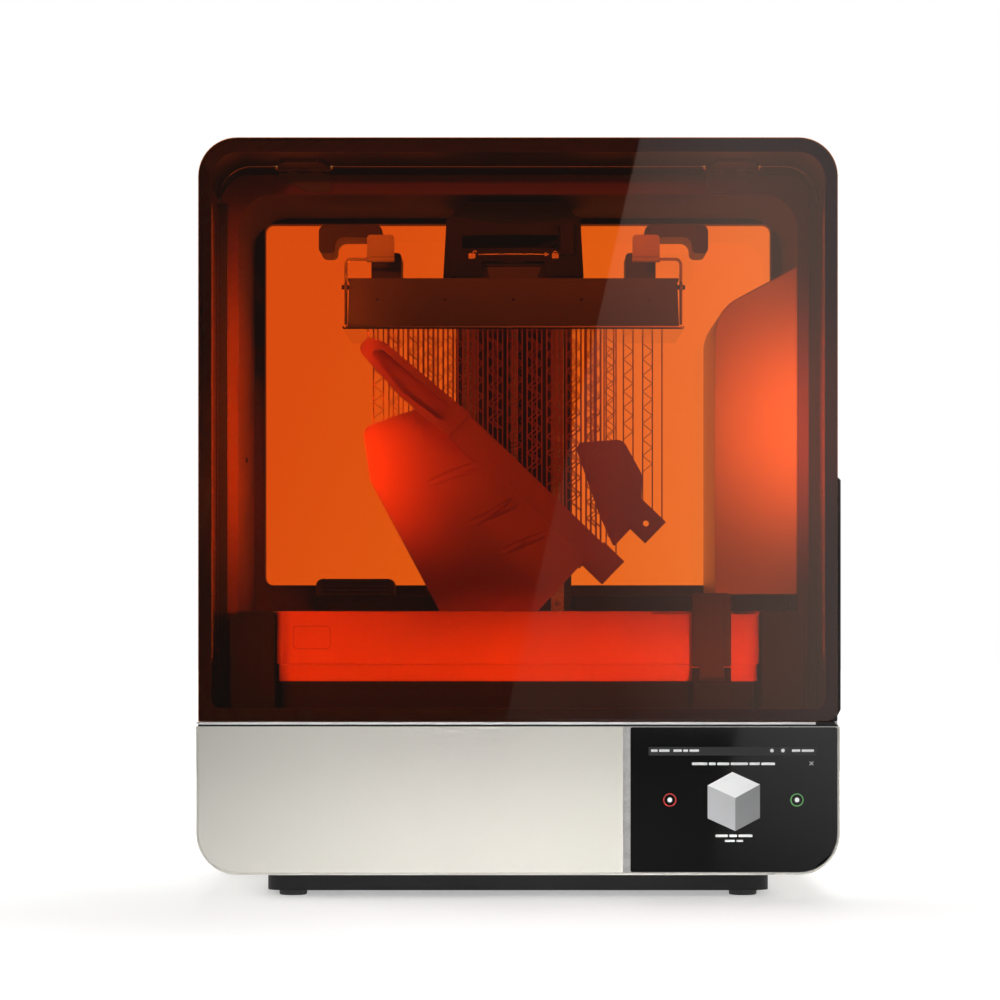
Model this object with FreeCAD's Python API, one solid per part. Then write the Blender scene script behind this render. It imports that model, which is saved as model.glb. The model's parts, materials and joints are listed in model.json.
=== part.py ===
import FreeCAD, Part
import math
import os

# Large desktop resin printer. Millimetres, +Z up, front towards -Y, origin on the floor under its middle.

# Shared small sizes
over = 1.0
fine_round = 1.0
small_round = 2.0
soft_round = 4.0
running = 0.06
slide_clear = 0.3

# Base housing
base_width = 664.0
base_depth = 528.0
base_low = 24.0
base_high = 177.2
base_corner = 43.0
base_wall = 4.0
panel_thick = 6.0
rim_thick = 2.0
rim_setback = 0.4
seam_gap = 0.3
fascia_round = 0.8
rear_inset = 1.5
plinth_side_inset = 71.0
plinth_end_inset = 33.0
plinth_corner = 20.0
plinth_wall = 3.0
foot_pad_radius = 14.5
foot_pad_high = 6.0
foot_stud_radius = 4.0
foot_boss_radius = 10.0
foot_inset = 26.0
vent_slots = 12
vent_length = 90.0
vent_width = 5.0
vent_pitch = 24.0

# Touchscreen
screen_width = 223.7
screen_post = 7.5
screen_rim = 0.6
glass_thick = 3.0
glass_inset = 0.3
glass_margin = 0.2
bezel_deep = 12.0
panel_margin = 15.0
panel_deep = 9.0

# Deck, trim and light unit
deck_thick = 2.0
deck_inset = 2.0
deck_hole_margin = 6.0
trim_thick = 2.5
trim_inset = 0.5
trim_width = 9.0
catch_side_inset = 25.0
catch_width = 20.0
catch_deep = 18.0
catch_rim = 4.0
tray_side_inset = 5.5
tray_rise = 42.8
tray_thick = 6.0
tray_wall = 4.0
tray_tank_inset = 4.0
lcd_width = 385.0
lcd_depth = 235.0
lcd_thick = 3.0
lcd_clear = 0.5
light_width = 360.0
light_depth = 206.0
lamp_width = 300.0
lamp_depth = 170.0
lamp_board = 3.0
sink_high = 9.0
sink_fins = 12
lamp_columns = 8
lamp_rows = 5
lamp_side = 12.0
lamp_high = 5.0

# Upper housing behind the hood
upper_side_inset = 2.0
upper_high = 785.0
upper_corner = 40.0
upper_wall = 3.5
hood_depth = 233.0
liner_side_gap = 25.0
liner_top_gap = 34.5
liner_back_gap = 31.0
liner_corner = 39.0
liner_wall = 3.0
back_wall = 4.0
flange_edge = 4.0
flange_top_gap = 13.0
hinge_groove = 6.0
window_side_gap = 11.6
window_top_gap = 5.5
window_low_gap = 12.0
window_corner = 9.0
window_lap = 7.0
window_thick = 4.0
window_groove_near = 3.0
window_groove_far = 11.0
window_groove_deep = 1.5
bay_border = 3.5
bay_lap = 2.0

# Hood
hood_wall = 4.0
hood_lift = 0.7
hood_gap = 2.5
hood_panel = 4.0
hood_panel_inset = 2.0
hood_border = 13.4
hood_border_top = 15.0
hood_border_low = 13.5
hood_inner_corner = 27.0
hood_inner_low_corner = 10.0
hood_panel_low_corner = 12.0
side_window_front = 26.0
side_window_back = 30.0
side_window_low = 60.0
side_window_high = 52.0
side_window_corner = 22.0
side_window_lap = 8.0
side_window_thick = 3.0
return_width = 9.4
return_low = 6.0
return_high = 45.0
seal_width = 6.0
seal_squeeze = 0.4
grip_low = 12.0
grip_long = 237.0
grip_proud = 3.2
grip_deep = 24.0
grip_slant = 6.0
grip_scoop = 11.0
hinge_drop = 6.0
hinge_radius = 4.5
pin_radius = 2.0
hinge_side_inset = 68.0
hinge_long = 58.0
hinge_room = 4.0
hinge_knuckles = 5
knuckle_gap = 0.5
leaf_thick = 4.0
leaf_long = 66.0
leaf_taper = 9.0
bracket_thick = 3.0
bracket_high = 22.0
bracket_short = 6.0
bracket_foot = 22.0

# Vertical axis
column_x = -5.0
tower_width = 132.0
tower_deep = 61.0
tower_wall = 8.0
tower_slot = 60.0
tower_top_gap = 8.5
rail_offset = 50.0
rail_width = 15.0
rail_high = 10.0
rail_groove = 2.0
rail_end_gap = 4.0
screw_back_gap = 30.0
screw_radius = 8.0
screw_journal = 6.0
screw_foot_radius = 5.0
screw_foot_long = 20.0
screw_rise = 2.8
screw_top_gap = 22.0
bearing_thick = 16.0
bearing_gap = 2.0
motor_side = 57.0
motor_long = 58.0
motor_boss_radius = 19.0
motor_boss_high = 2.3

# Build platform
platform_top_gap = 95.9
platform_high = 54.6
plate_sheet = 3.2
platform_deep = 225.0
platform_overhang = 3.0
platform_foot_half = 178.5
platform_top_half = 176.5
platform_wall = 4.0
platform_lip = 1.6
platform_lip_thick = 2.6
sheet_half = 184.4
sheet_lip = 2.0
sheet_chamfer = 1.6
sheet_corner = 6.0
tongue_foot_half = 24.0
tongue_top_half = 30.0
tongue_high = 17.4
tongue_long = 140.0
tongue_setback = 4.0

# Moving carriage
plate_thick = 10.0
plate_edge = 1.5
block_width = 34.0
block_tall = 36.0
block_deep = 20.0
block_gap = 4.0
nut_radius = 12.0
nut_flange_radius = 17.0
nut_flange = 10.0
nut_long = 24.0
nut_rise = 28.0
nut_arm_half = 20.0
arm_half = 62.0
arm_long = 168.0
arm_gap = 4.0
arm_thick = 17.4
cover_gap = 5.9
cover_tall = 84.5
cover_foot_half = 76.5
cover_shoulder_half = 73.3
cover_shoulder_high = 56.5
cover_roof_half = 56.0
cover_roof_long = 144.0
cover_wall = 4.0
cover_round = 8.0
cover_notch_half = 34.0
cover_notch_high = 15.5

# Lock lever in the carriage
lever_side = 4.0
lever_setback = 33.0
cover_bow = 160.0
lever_swing = 37.0
lever_slot_rise = 29.7
lever_slot_high = 14.2
lever_slot_half = 60.0
lever_thick = 6.0
lever_half = 6.0
lever_hub = 11.0
lever_pin = 4.0
lever_post = 8.0
lever_gap = 3.0
knob_half = 7.6
knob_thick = 9.0
knob_drop = 7.6
knob_rise = 11.6

# Carry handles on the platform
handle_reach = 38.5
handle_bar_long = 70.0
handle_neck = 12.0
handle_foot = 21.0
handle_foot_high = 37.0
handle_bar_rise = 54.4
handle_bar_thick = 14.0
handle_tip = 18.0
handle_tip_drop = 18.0
handle_hook_round = 10.0
handle_tip_round = 6.0
handle_setback = 104.0
handle_long = 84.0

# Wire releases at the platform's ends
wire_radius = 1.6
wire_gap = 3.0
wire_bend = 6.5
wire_rise = 6.5
release_setback = 26.0
release_drop = 7.6
release_pin = 2.5
release_pin_end = 3.0
release_eye = 5.5
release_bar_rise = 22.9
tab_gap = 22.9
tab_width = 29.6
tab_tall = 26.5
tab_thick = 1.6
tab_roll = 3.4

# Resin tank
tank_side_gap = 49.5
tank_front_gap = 95.0
tank_back_gap = 14.0
tank_seam_rise = 18.0
tank_rise = 74.0
tank_corner = 16.0
tank_wall = 5.0
tank_step_long = 115.5
tank_step = 3.0
film_inset = 2.2
film_ring = 6.0
film_lift = 1.0
film_thick = 0.5
guide_gap = 1.5
guide_side_gap = 1.5
guide_corner = 14.0
guide_wall = 3.0
guide_inset = 4.0
mixer_width = 24.0
mixer_high = 19.0
mixer_foot = 4.0
mixer_end_gap = 3.0
mixer_top_width = 12.0
mixer_slots = 7
mixer_slot_share = 0.7
mixer_slot_high = 8.0

# Tank latch
latch_side_gap = 72.0
latch_width = 40.5
latch_ear = 7.0
latch_pivot_rise = 7.0
latch_ear_radius = 7.5
latch_pin = 3.0
latch_stand_off = 2.0
latch_thick = 15.0
latch_over_tank = 19.0
latch_skirt = 9.0
latch_hook = 7.5
latch_hook_thick = 6.0
latch_seat = 0.5
latch_tilt_play = 0.5
latch_corner = 6.0
latch_pad_deep = 2.0

# Cartridge bay, heater and rear ledge
shroud_width = 90.3
shroud_rise = 18.0
shroud_top_gap = 77.9
shroud_slant = 48.6
shroud_round = 45.0
shroud_wall = 3.0
cartridge_clear = 4.0
cartridge_front_gap = 8.0
cartridge_back_inset = 2.0
cartridge_wall = 3.0
cartridge_outlet = 8.0
cartridge_grip_deep = 24.0
cartridge_grip_wide = 44.0
cartridge_grip_high = 70.0
cartridge_grip_rise = 136.0
cartridge_bar_wide = 10.0
cartridge_bar_deep = 9.0
hatch_clear = 1.2
spout_side_gap = 65.0
spout_width = 60.0
spout_long = 126.0
spout_high = 17.0
spout_nozzle = 7.0
spout_reach = 8.0
ledge_left_gap = 73.0
ledge_right_gap = 5.0
ledge_lead = 10.0
ledge_tower_gap = 4.0
ledge_wall = 3.0
heater_inset = 1.0
heater_width = 90.0
heater_high = 19.0
heater_setback = 10.0
heater_deep = 52.0
heater_corner = 8.0
heater_louvres = 3
heater_louvre_deep = 6.0

# Back of the base
fan_side_gap = 142.0
fan_z = 100.0
fan_side = 92.0
fan_deep = 25.0
fan_bore = 43.0
fan_hub = 17.0
fan_tip_gap = 1.5
fan_blades = 7
fan_blade_thick = 1.8
fan_root_pitch = 35.0
fan_tip_pitch = 55.0
fan_chord_share = 0.9
fan_shaft = 3.0
fan_strut = 6.0
fan_plate = 4.0
grille_rings = 4
grille_pitch = 9.0
grille_slot = 5.5
grille_spoke = 5.0
inlet_side_gap = 112.0
inlet_width = 44.0
switch_frame = 22.0
inlet_low = 84.0
inlet_high = 34.0
inlet_deep = 28.0
inlet_back_inset = 1.0
socket_width = 25.0
socket_high = 18.0
socket_deep = 18.0
switch_width = 14.0
switch_high = 22.0
switch_clear = 0.5
switch_tilt = 8.0
switch_pin = 2.0
switch_pin_long = 3.0
switch_setback = 6.0
switch_crest = 4.0
switch_dip = 1.8
switch_root = 8.0
ports_gap = 30.0
ports_width = 70.0
port_deep = 14.0
port_wide = 14.0
port_pitch = 20.0
port_highs = (12.0, 6.5, 6.5)
supply_gap = 20.0
supply_long = 230.0
supply_high = 60.0
supply_slots = 8
supply_slot = 6.0
supply_skin = 3.0
inside_front_gap = 114.0
inside_corner_gap = 4.0
board_gap = 10.0
board_long = 240.0
board_thick = 1.6
board_lift = 6.0
board_stand = 4.0
chip_high = 12.0
chip_shares = (
    (0.29, 0.62, 0.37, 0.54, 1.0),
    (0.17, 0.38, 0.12, 0.23, 0.3),
    (0.50, 0.83, 0.08, 0.19, 0.8),
    (0.17, 0.83, 0.85, 0.92, 1.2),
)

vec = FreeCAD.Vector

# Printed scoop, hanging from the platform by its supports
print_clear = 68.5
scoop_tilt = 44.0
scoop_side = -47.0
scoop_drop = 90.0
scoop_forward = 68.5
scoop_bend = 120.0
scoop_crown = 85.0
scoop_wall = 7.0
scoop_long = 202.0
scoop_left = 74.0
scoop_wide = 190.0
rib_radius = 5.0
rib_slant = 22.0
rib_reach = 52.0
rib_places = (20.0, 82.0, 128.0)
scoop_rim_width = 38.0
scoop_rim_in = 16.0
scoop_rim_deep = 10.0
back_wall_deep = 64.0
back_wall_thick = 9.0
haft_long = 137.0
haft_width = 34.0
haft_forward = 20.0
haft_deep = 22.0
haft_dish = 7.0
haft_root = 30.0
lug_long = 30.0
lug_width = 33.0
cradle_side = 116.0
cradle_drop = 160.0
cradle_behind = 41.5
cradle_wide = 80.0
cradle_thick = 14.0
cradle_hole = 3.4
support_thick = 1.4
support_pitch_x = 10.8
support_pitch_y = 17.0
support_inset = 7.0
support_sink = 2.0

# Places that follow from the sizes
base_half = base_width / 2
front = -base_depth / 2
back = base_depth / 2
shell_front = front + panel_thick
shell_back = back - panel_thick
floor_z = base_low + base_wall
screen_seam = base_half - screen_width
deck_top = base_high + deck_thick
trim_top = deck_top + trim_thick
catch_left = base_half - catch_side_inset
upper_half = base_half - upper_side_inset
split_y = front + hood_depth
liner_half = upper_half - liner_side_gap
liner_high = upper_high - liner_top_gap
liner_back = back - liner_back_gap
window_half = liner_half - window_side_gap
window_high = liner_high - window_top_gap
tray_high = deck_top + tray_rise
tank_seam = tray_high + tank_seam_rise
tank_high = tray_high + tank_rise
shroud_left = liner_half - shroud_width
shroud_low = tank_high + shroud_rise
shroud_ridge = liner_high - shroud_top_gap
shroud_eave = shroud_ridge - shroud_slant
window_low = shroud_low + window_low_gap
hood_low = trim_top + hood_lift
hood_front = front + hood_panel_inset
hood_shell_front = hood_front + hood_panel
hood_back = split_y - hood_gap
hinge_y = hood_back
hinge_z = upper_high - hinge_drop
hinge_outer = upper_half - hinge_side_inset
hinge_inner = hinge_outer - hinge_long
roof_back = hinge_y - hinge_radius - knuckle_gap
tower_front = liner_back - tower_deep
tower_high = liner_high - tower_top_gap
rail_low = deck_top + rail_end_gap
rail_top = tower_high - rail_end_gap
screw_y = liner_back - screw_back_gap
screw_low = deck_top + screw_rise
screw_shoulder = tower_high - screw_top_gap
plate_back = tower_front - block_gap - block_deep
plate_front = plate_back - plate_thick
platform_top = liner_high - platform_top_gap
platform_bottom = platform_top - platform_high
platform_front = plate_front + platform_overhang - platform_deep
platform_mid = platform_front + platform_deep / 2
cover_low = platform_top + cover_gap
cover_high = cover_low + cover_tall
cover_shoulder = cover_low + cover_shoulder_high
plate_low = cover_low + plate_edge
plate_high = cover_high - plate_edge
nut_low = plate_low + nut_rise
arm_low = platform_top + arm_gap
arm_front = plate_front - arm_long
tongue_front = arm_front + tongue_setback
lever_x = column_x + lever_side
lever_y = plate_front - lever_setback
slot_low = cover_low + lever_slot_rise
slot_high = slot_low + lever_slot_high
lever_low = (slot_low + slot_high - lever_thick) / 2
handle_front = platform_front + handle_setback
wire_offset = platform_foot_half + wire_gap
release_y = platform_front + release_setback
release_z = platform_top - release_drop
release_bar_z = platform_top + release_bar_rise
tank_half = liner_half - tank_side_gap
tank_front = front + tank_front_gap
tank_back = tower_front - tank_back_gap
tray_half = tank_half - tray_side_inset
film_z = tray_high + film_lift
film_top = film_z + film_thick
print_low = film_top + print_clear
film_inner = tank_half - film_inset - film_ring
latch_left = tank_half - latch_side_gap
latch_right = latch_left + latch_width
latch_pivot_z = tray_high + latch_pivot_rise
latch_high = tank_high + latch_over_tank
ledge_front = tower_front - ledge_lead
ledge_left = ledge_left_gap - liner_half
ledge_right = liner_half - ledge_right_gap
spout_left = liner_half - spout_side_gap
spout_front = ledge_front - spout_long
fan_x = fan_side_gap - base_half
inlet_left = base_half - inlet_side_gap
inlet_right = inlet_left + inlet_width
ports_left = inlet_left - ports_gap - ports_width
connector_back = back - inlet_back_inset
connector_mid = inlet_low + inlet_high / 2
inside_front = front + inside_front_gap
inside_half = base_half - base_corner - inside_corner_gap
rear_face = back - rear_inset
fascia_inset = rim_thick + seam_gap


def place(plane, u, v, w):
    if plane == "xz":
        return vec(u, w, v)
    if plane == "yz":
        return vec(w, u, v)
    return vec(u, v, w)


def outline(corners, plane, level):
    # closed outline whose corners are (u, v, radius)
    starts = []
    middles = []
    ends = []
    count = len(corners)
    for i, (u, v, radius) in enumerate(corners):
        here = place(plane, u, v, level)
        if radius <= 0:
            starts.append(here)
            middles.append(None)
            ends.append(here)
            continue
        before = place(plane, corners[i - 1][0], corners[i - 1][1], level)
        after = place(plane, corners[(i + 1) % count][0], corners[(i + 1) % count][1], level)
        a = (before - here).normalize()
        b = (after - here).normalize()
        half = a.getAngle(b) / 2
        reach = radius / math.tan(half)
        centre = here + (a + b).normalize() * (radius / math.sin(half))
        starts.append(here + a * reach)
        middles.append(centre + (here - centre).normalize() * radius)
        ends.append(here + b * reach)
    edges = []
    for i in range(count):
        if middles[i] is not None:
            edges.append(Part.Arc(starts[i], middles[i], ends[i]).toShape())
        following = starts[(i + 1) % count]
        if ends[i].distanceToPoint(following) > 1e-6:
            edges.append(Part.makeLine(ends[i], following))
    return Part.Wire(edges)


def prism(corners, plane, low, high):
    face = Part.Face(outline(corners, plane, low))
    return face.extrude(place(plane, 0, 0, high - low))


def box(x, y, z):
    return Part.makeBox(x[1] - x[0], y[1] - y[0], z[1] - z[0], vec(x[0], y[0], z[0]))


def rod(radius, start, end):
    return Part.makeCylinder(radius, (end - start).Length, start, end - start)


def tube(outer, inner, start, end):
    return rod(outer, start, end).cut(rod(inner, start, end))


def rectangle(u, v, radius=0.0):
    return [(u[0], v[0], radius), (u[1], v[0], radius), (u[1], v[1], radius), (u[0], v[1], radius)]


def arch(half, low, high, radius):
    return [(-half, low, 0), (half, low, 0), (half, high, radius), (-half, high, radius)]


def union(shapes):
    return shapes[0].multiFuse(shapes[1:]).removeSplitter()


def mirrored(shape, x):
    return shape.mirror(vec(x, 0, 0), vec(1, 0, 0))


def span(middle, width):
    return (middle - width / 2, middle + width / 2)


def base_outline(left, right, inset, left_round, right_round, top):
    low = base_low + inset
    return [
        (left, low, left_round),
        (right, low, right_round),
        (right, top, 0),
        (left, top, 0),
    ]


def base_form(inset, low, high):
    side = base_half - inset
    corner = base_corner - inset
    return prism(base_outline(-side, side, inset, corner, corner, base_high + inset), "xz", low, high)


def base_shell():
    # the front edge is a thin rim that the fascia and the screen sit in
    shell = base_form(0, front + rim_setback, shell_back)
    shell = shell.cut(base_form(base_wall, shell_front - over, shell_back + over))
    return shell.cut(base_form(rim_thick, front - over, shell_front))


def front_fascia():
    inset = fascia_inset
    corners = base_outline(inset - base_half, screen_seam, inset, base_corner - inset, 0, base_high)
    plate = prism(corners, "xz", front, shell_front)
    edges = [e for e in plate.Edges if e.BoundBox.YMax < front + fascia_round / 2]
    return plate.makeFillet(fascia_round, edges)


def glass_outline(margin):
    left = screen_seam + screen_post + margin
    inset = fascia_inset + screen_rim + margin
    right = base_half - inset
    low = base_low + inset
    high = base_high - screen_rim - margin
    small = small_round
    return [(left, low, small), (right, low, base_corner - inset), (right, high, small), (left, high, small)]


def display_outline(margin):
    left = screen_seam + screen_post + panel_margin - margin
    right = base_half - base_corner / 2 + margin
    low = base_low + base_corner / 2 - margin
    high = base_high - panel_margin + margin
    return rectangle((left, right), (low, high))


def screen_bezel():
    inset = fascia_inset
    corners = base_outline(screen_seam, base_half - inset, inset, 0, base_corner - inset, base_high)
    bezel = prism(corners, "xz", front, shell_front)
    side = base_half - base_wall - slide_clear
    corner = base_corner - base_wall
    tub = base_outline(screen_seam, side, base_wall + slide_clear, 0, corner, base_high - base_wall)
    bezel = bezel.fuse(prism(tub, "xz", shell_front, shell_front + bezel_deep))
    seat = front + glass_inset + glass_thick
    bezel = bezel.cut(prism(glass_outline(0), "xz", front - over, seat))
    return bezel.cut(prism(display_outline(glass_margin), "xz", seat, shell_front + bezel_deep + over))


def touchscreen_glass():
    start = front + glass_inset
    return prism(glass_outline(glass_margin), "xz", start, start + glass_thick)


def display_panel():
    start = front + glass_inset + glass_thick
    return prism(display_outline(0), "xz", start, start + panel_deep)


def foot_places():
    x = base_half - plinth_side_inset - foot_inset
    y = back - plinth_end_inset - foot_inset
    return [(i * x, j * y) for i in (-1, 1) for j in (-1, 1)]


def plinth():
    x = base_half - plinth_side_inset
    y = back - plinth_end_inset
    tray = prism(rectangle((-x, x), (-y, y), plinth_corner), "xy", foot_pad_high, base_low)
    inner_x = x - plinth_wall
    inner_y = y - plinth_wall
    hollow = rectangle((-inner_x, inner_x), (-inner_y, inner_y), plinth_corner - plinth_wall)
    tray = tray.cut(prism(hollow, "xy", foot_pad_high + plinth_wall, base_low + over))
    bosses = []
    bores = []
    for foot_x, foot_y in foot_places():
        start = vec(foot_x, foot_y, foot_pad_high)
        bosses.append(rod(foot_boss_radius, start, vec(foot_x, foot_y, base_low)))
        bores.append(rod(foot_stud_radius + running, start, vec(foot_x, foot_y, base_low)))
    slots = []
    for i in range(vent_slots):
        slot_x = (i - (vent_slots - 1) / 2) * vent_pitch
        slot = rectangle(span(slot_x, vent_width), span(0, vent_length))
        slots.append(prism(slot, "xy", foot_pad_high - over, foot_pad_high + plinth_wall + over))
    return union([tray] + bosses).cut(Part.makeCompound(bores + slots))


def levelling_feet():
    feet = []
    for x, y in foot_places():
        pad = rod(foot_pad_radius, vec(x, y, 0), vec(x, y, foot_pad_high))
        rim = [e for e in pad.Edges if isinstance(e.Curve, Part.Circle)]
        pad = pad.makeChamfer(fine_round, rim)
        stud = rod(foot_stud_radius, vec(x, y, foot_pad_high / 2), vec(x, y, base_low - base_wall))
        feet.append(pad.fuse(stud).removeSplitter())
    return Part.makeCompound(feet)


def deck_plate():
    x = base_half - deck_inset
    plate = prism(rectangle((-x, x), (front + deck_inset, back - deck_inset)), "xy", base_high, deck_top)
    hole_x = span(column_x, lcd_width + 2 * deck_hole_margin)
    hole_y = span(platform_mid, lcd_depth + 2 * deck_hole_margin)
    hole = rectangle(hole_x, hole_y, deck_hole_margin)
    plate = plate.cut(prism(hole, "xy", base_high - over, deck_top + over))
    motor = vec(column_x, screw_y, base_high - over)
    return plate.cut(rod(motor_boss_radius + slide_clear, motor, motor + vec(0, 0, deck_thick + 2)))


def base_top_trim():
    x = base_half - trim_inset
    y = back - trim_inset
    ring = prism(rectangle((-x, x), (-y, y)), "xy", deck_top, trim_top)
    inner_x = x - trim_width
    inner_y = y - trim_width
    inner = rectangle((-inner_x, inner_x), (-inner_y, inner_y))
    ring = ring.cut(prism(inner, "xy", deck_top - over, trim_top + over))
    room = (front, front + catch_deep + trim_width)
    return ring.cut(box((catch_left, base_half), room, (deck_top, trim_top)))


def hood_catch():
    x = (catch_left + slide_clear, catch_left + catch_width)
    y = (front + hood_panel_inset, front + hood_panel_inset + catch_deep)
    block = prism(rectangle(x, y, small_round), "xy", deck_top, trim_top + hood_lift / 2)
    dish_x = (x[0] + catch_rim, x[1] - catch_rim)
    dish_y = (y[0] + catch_rim, y[1] - catch_rim)
    return block.cut(box(dish_x, dish_y, (trim_top - over, trim_top + over)))


def centred(width, depth):
    return rectangle(span(column_x, width), span(platform_mid, depth))


def hopper(width_low, depth_low, width_high, depth_high, low, high):
    lower = outline(centred(width_low, depth_low), "xy", low)
    upper = outline(centred(width_high, depth_high), "xy", high)
    return Part.makeLoft([lower, upper], True, True)


def tray_outline(inset):
    x = tray_half - inset
    y = (tank_front + tray_tank_inset + inset, tank_back - tray_tank_inset - inset)
    return rectangle((-x, x), y, tank_corner - tray_wall)


def light_box():
    lamp_z = floor_z + sink_high + lamp_board
    under = tray_high - tray_thick
    tray = prism(tray_outline(0), "xy", deck_top, tray_high)
    tray = tray.cut(prism(tray_outline(tray_wall), "xy", deck_top - over, under))
    w = 2 * tray_wall
    cone = hopper(lamp_width, lamp_depth, light_width + w, light_depth + w, lamp_z, under)
    hole = hopper(lamp_width - w, lamp_depth - w, light_width, light_depth, lamp_z, under)
    tray = tray.fuse(cone).cut(hole)
    tray = tray.cut(prism(centred(light_width, light_depth), "xy", under - 0.1, tray_high + over))
    pocket = centred(lcd_width + 2 * lcd_clear, lcd_depth + 2 * lcd_clear)
    return tray.cut(prism(pocket, "xy", tray_high - lcd_thick, tray_high + over)).removeSplitter()


def masking_lcd():
    return prism(centred(lcd_width, lcd_depth), "xy", tray_high - lcd_thick, tray_high)


def led_array():
    sink_top = floor_z + sink_high
    lamp_z = sink_top + lamp_board
    x = span(column_x, lamp_width)
    y = span(platform_mid, lamp_depth)
    solids = [box(x, y, (sink_top, lamp_z))]
    fin_pitch = lamp_width / sink_fins
    for i in range(sink_fins):
        fin_x = x[0] + (i + 0.5) * fin_pitch
        solids.append(box(span(fin_x, fin_pitch / 3), y, (floor_z, sink_top)))
    for i in range(lamp_columns):
        for j in range(lamp_rows):
            lamp_x = x[0] + (i + 0.5) * lamp_width / lamp_columns
            lamp_y = y[0] + (j + 0.5) * lamp_depth / lamp_rows
            solids.append(box(span(lamp_x, lamp_side), span(lamp_y, lamp_side), (lamp_z, lamp_z + lamp_high)))
    return union(solids)


def power_supply():
    x = (column_x + lamp_width / 2 + supply_gap, inside_half)
    y = (inside_front, inside_front + supply_long)
    top = floor_z + supply_high
    case = box(x, y, (floor_z, top))
    slots = []
    for i in range(supply_slots):
        slot_y = y[0] + supply_long * (i + 1) / (supply_slots + 1)
        slot_x = (x[0] + 2 * supply_slot, x[1] - 2 * supply_slot)
        slots.append(box(slot_x, span(slot_y, supply_slot), (top - supply_skin, top + over)))
    return case.cut(Part.makeCompound(slots))


def main_board():
    x = -inside_half
    y = inside_front
    width = column_x - lamp_width / 2 - board_gap - x
    low = floor_z + board_lift
    top = low + board_thick
    solids = [box((x, x + width), (y, y + board_long), (low, top))]
    for i in (0.1, 0.9):
        for j in (0.1, 0.9):
            at = vec(x + width * i, y + board_long * j, floor_z)
            solids.append(rod(board_stand, at, at + vec(0, 0, board_lift)))
    for left, right, near, far, tall in chip_shares:
        chip_x = (x + width * left, x + width * right)
        chip_y = (y + board_long * near, y + board_long * far)
        solids.append(box(chip_x, chip_y, (top, top + chip_high * tall)))
    return union(solids)


def connector_outline(left, right):
    return rectangle((left, right), (inlet_low, inlet_low + inlet_high))


def rear_panel():
    corners = base_outline(-base_half, base_half, 0, base_corner, base_corner, base_high)
    panel = prism(corners, "xz", shell_back, rear_face)
    for x in ((inlet_left, inlet_right + switch_frame), (ports_left, ports_left + ports_width)):
        panel = panel.cut(prism(connector_outline(x[0], x[1]), "xz", shell_back - over, back + over))
    start = vec(fan_x, shell_back - over, fan_z)
    end = vec(fan_x, back + over, fan_z)
    rings = []
    for i in range(grille_rings):
        inner = (i + 0.5) * grille_pitch
        rings.append(tube(inner + grille_slot, inner, start, end))
    reach = (grille_rings + 1) * grille_pitch
    across = box(span(fan_x, 2 * reach), (shell_back - over, back + over), span(fan_z, grille_spoke))
    upright = box(span(fan_x, grille_spoke), (shell_back - over, back + over), span(fan_z, 2 * reach))
    grille = union(rings).cut(across.fuse(upright))
    return panel.cut(grille)


def switch_pivot():
    return vec(inlet_right + switch_frame / 2, back - switch_setback, connector_mid)


def rear_connectors():
    low = connector_back - inlet_deep
    inlet = prism(connector_outline(inlet_left, inlet_right), "xz", low, connector_back)
    socket_x = (inlet_left + inlet_right) / 2
    socket = rectangle(span(socket_x, socket_width), span(connector_mid, socket_high), small_round)
    inlet = inlet.cut(prism(socket, "xz", connector_back - socket_deep, connector_back + over))
    pivot = switch_pivot()
    frame = prism(connector_outline(inlet_right, inlet_right + switch_frame), "xz", low, connector_back)
    well_x = span(pivot.x, switch_width + 2 * switch_clear)
    well_z = span(pivot.z, switch_high + 2 * switch_clear)
    frame = frame.cut(box(well_x, (connector_back - socket_deep, connector_back + over), well_z))
    side = vec(switch_width / 2 + switch_clear + switch_pin_long, 0, 0)
    frame = frame.cut(rod(switch_pin + running, pivot - side, pivot + side))
    ports = prism(connector_outline(ports_left, ports_left + ports_width), "xz", low, connector_back)
    for i, high in enumerate(port_highs):
        port_x = ports_left + ports_width / 2 + (i - 1) * port_pitch
        hole_y = (connector_back - port_deep, connector_back + over)
        ports = ports.cut(box(span(port_x, port_wide), hole_y, span(connector_mid, high)))
    return Part.makeCompound([inlet, frame, ports])


def power_switch():
    # rocker built in its off position
    pivot = switch_pivot()
    half = switch_high / 2 - fine_round
    root = half - soft_round
    crest = pivot.y + switch_crest
    corners = [
        (pivot.y - switch_root, pivot.z - root, fine_round),
        (pivot.y - switch_root, pivot.z + root, fine_round),
        (crest, pivot.z + half, fine_round),
        (crest - switch_dip, pivot.z, 0),
        (crest, pivot.z - half, fine_round),
    ]
    rocker = prism(corners, "yz", pivot.x - switch_width / 2, pivot.x + switch_width / 2)
    side = vec(switch_width / 2 + switch_clear + switch_pin_long - slide_clear, 0, 0)
    rocker = rocker.fuse(rod(switch_pin, pivot - side, pivot + side)).removeSplitter()
    rocker.rotate(pivot, vec(1, 0, 0), switch_tilt)
    return rocker


def fan_frame():
    inner_y = shell_back - fan_deep
    side = rectangle(span(fan_x, fan_side), span(fan_z, fan_side), soft_round)
    frame = prism(side, "xz", inner_y, shell_back)
    start = vec(fan_x, inner_y - over, fan_z)
    frame = frame.cut(rod(fan_bore, start, vec(fan_x, shell_back + over, fan_z)))
    struts = []
    for angle in (45, 135, 225, 315):
        strut = box((fan_x, fan_x + fan_bore + over), (inner_y, inner_y + fan_plate), span(fan_z, fan_strut))
        strut.rotate(vec(fan_x, 0, fan_z), vec(0, 1, 0), angle)
        struts.append(strut)
    hub = rod(fan_hub, vec(fan_x, inner_y, fan_z), vec(fan_x, inner_y + fan_plate, fan_z))
    frame = union([frame, hub] + struts)
    return frame.cut(rod(fan_shaft + running, start, start + vec(0, fan_plate + 2, 0)))


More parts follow.
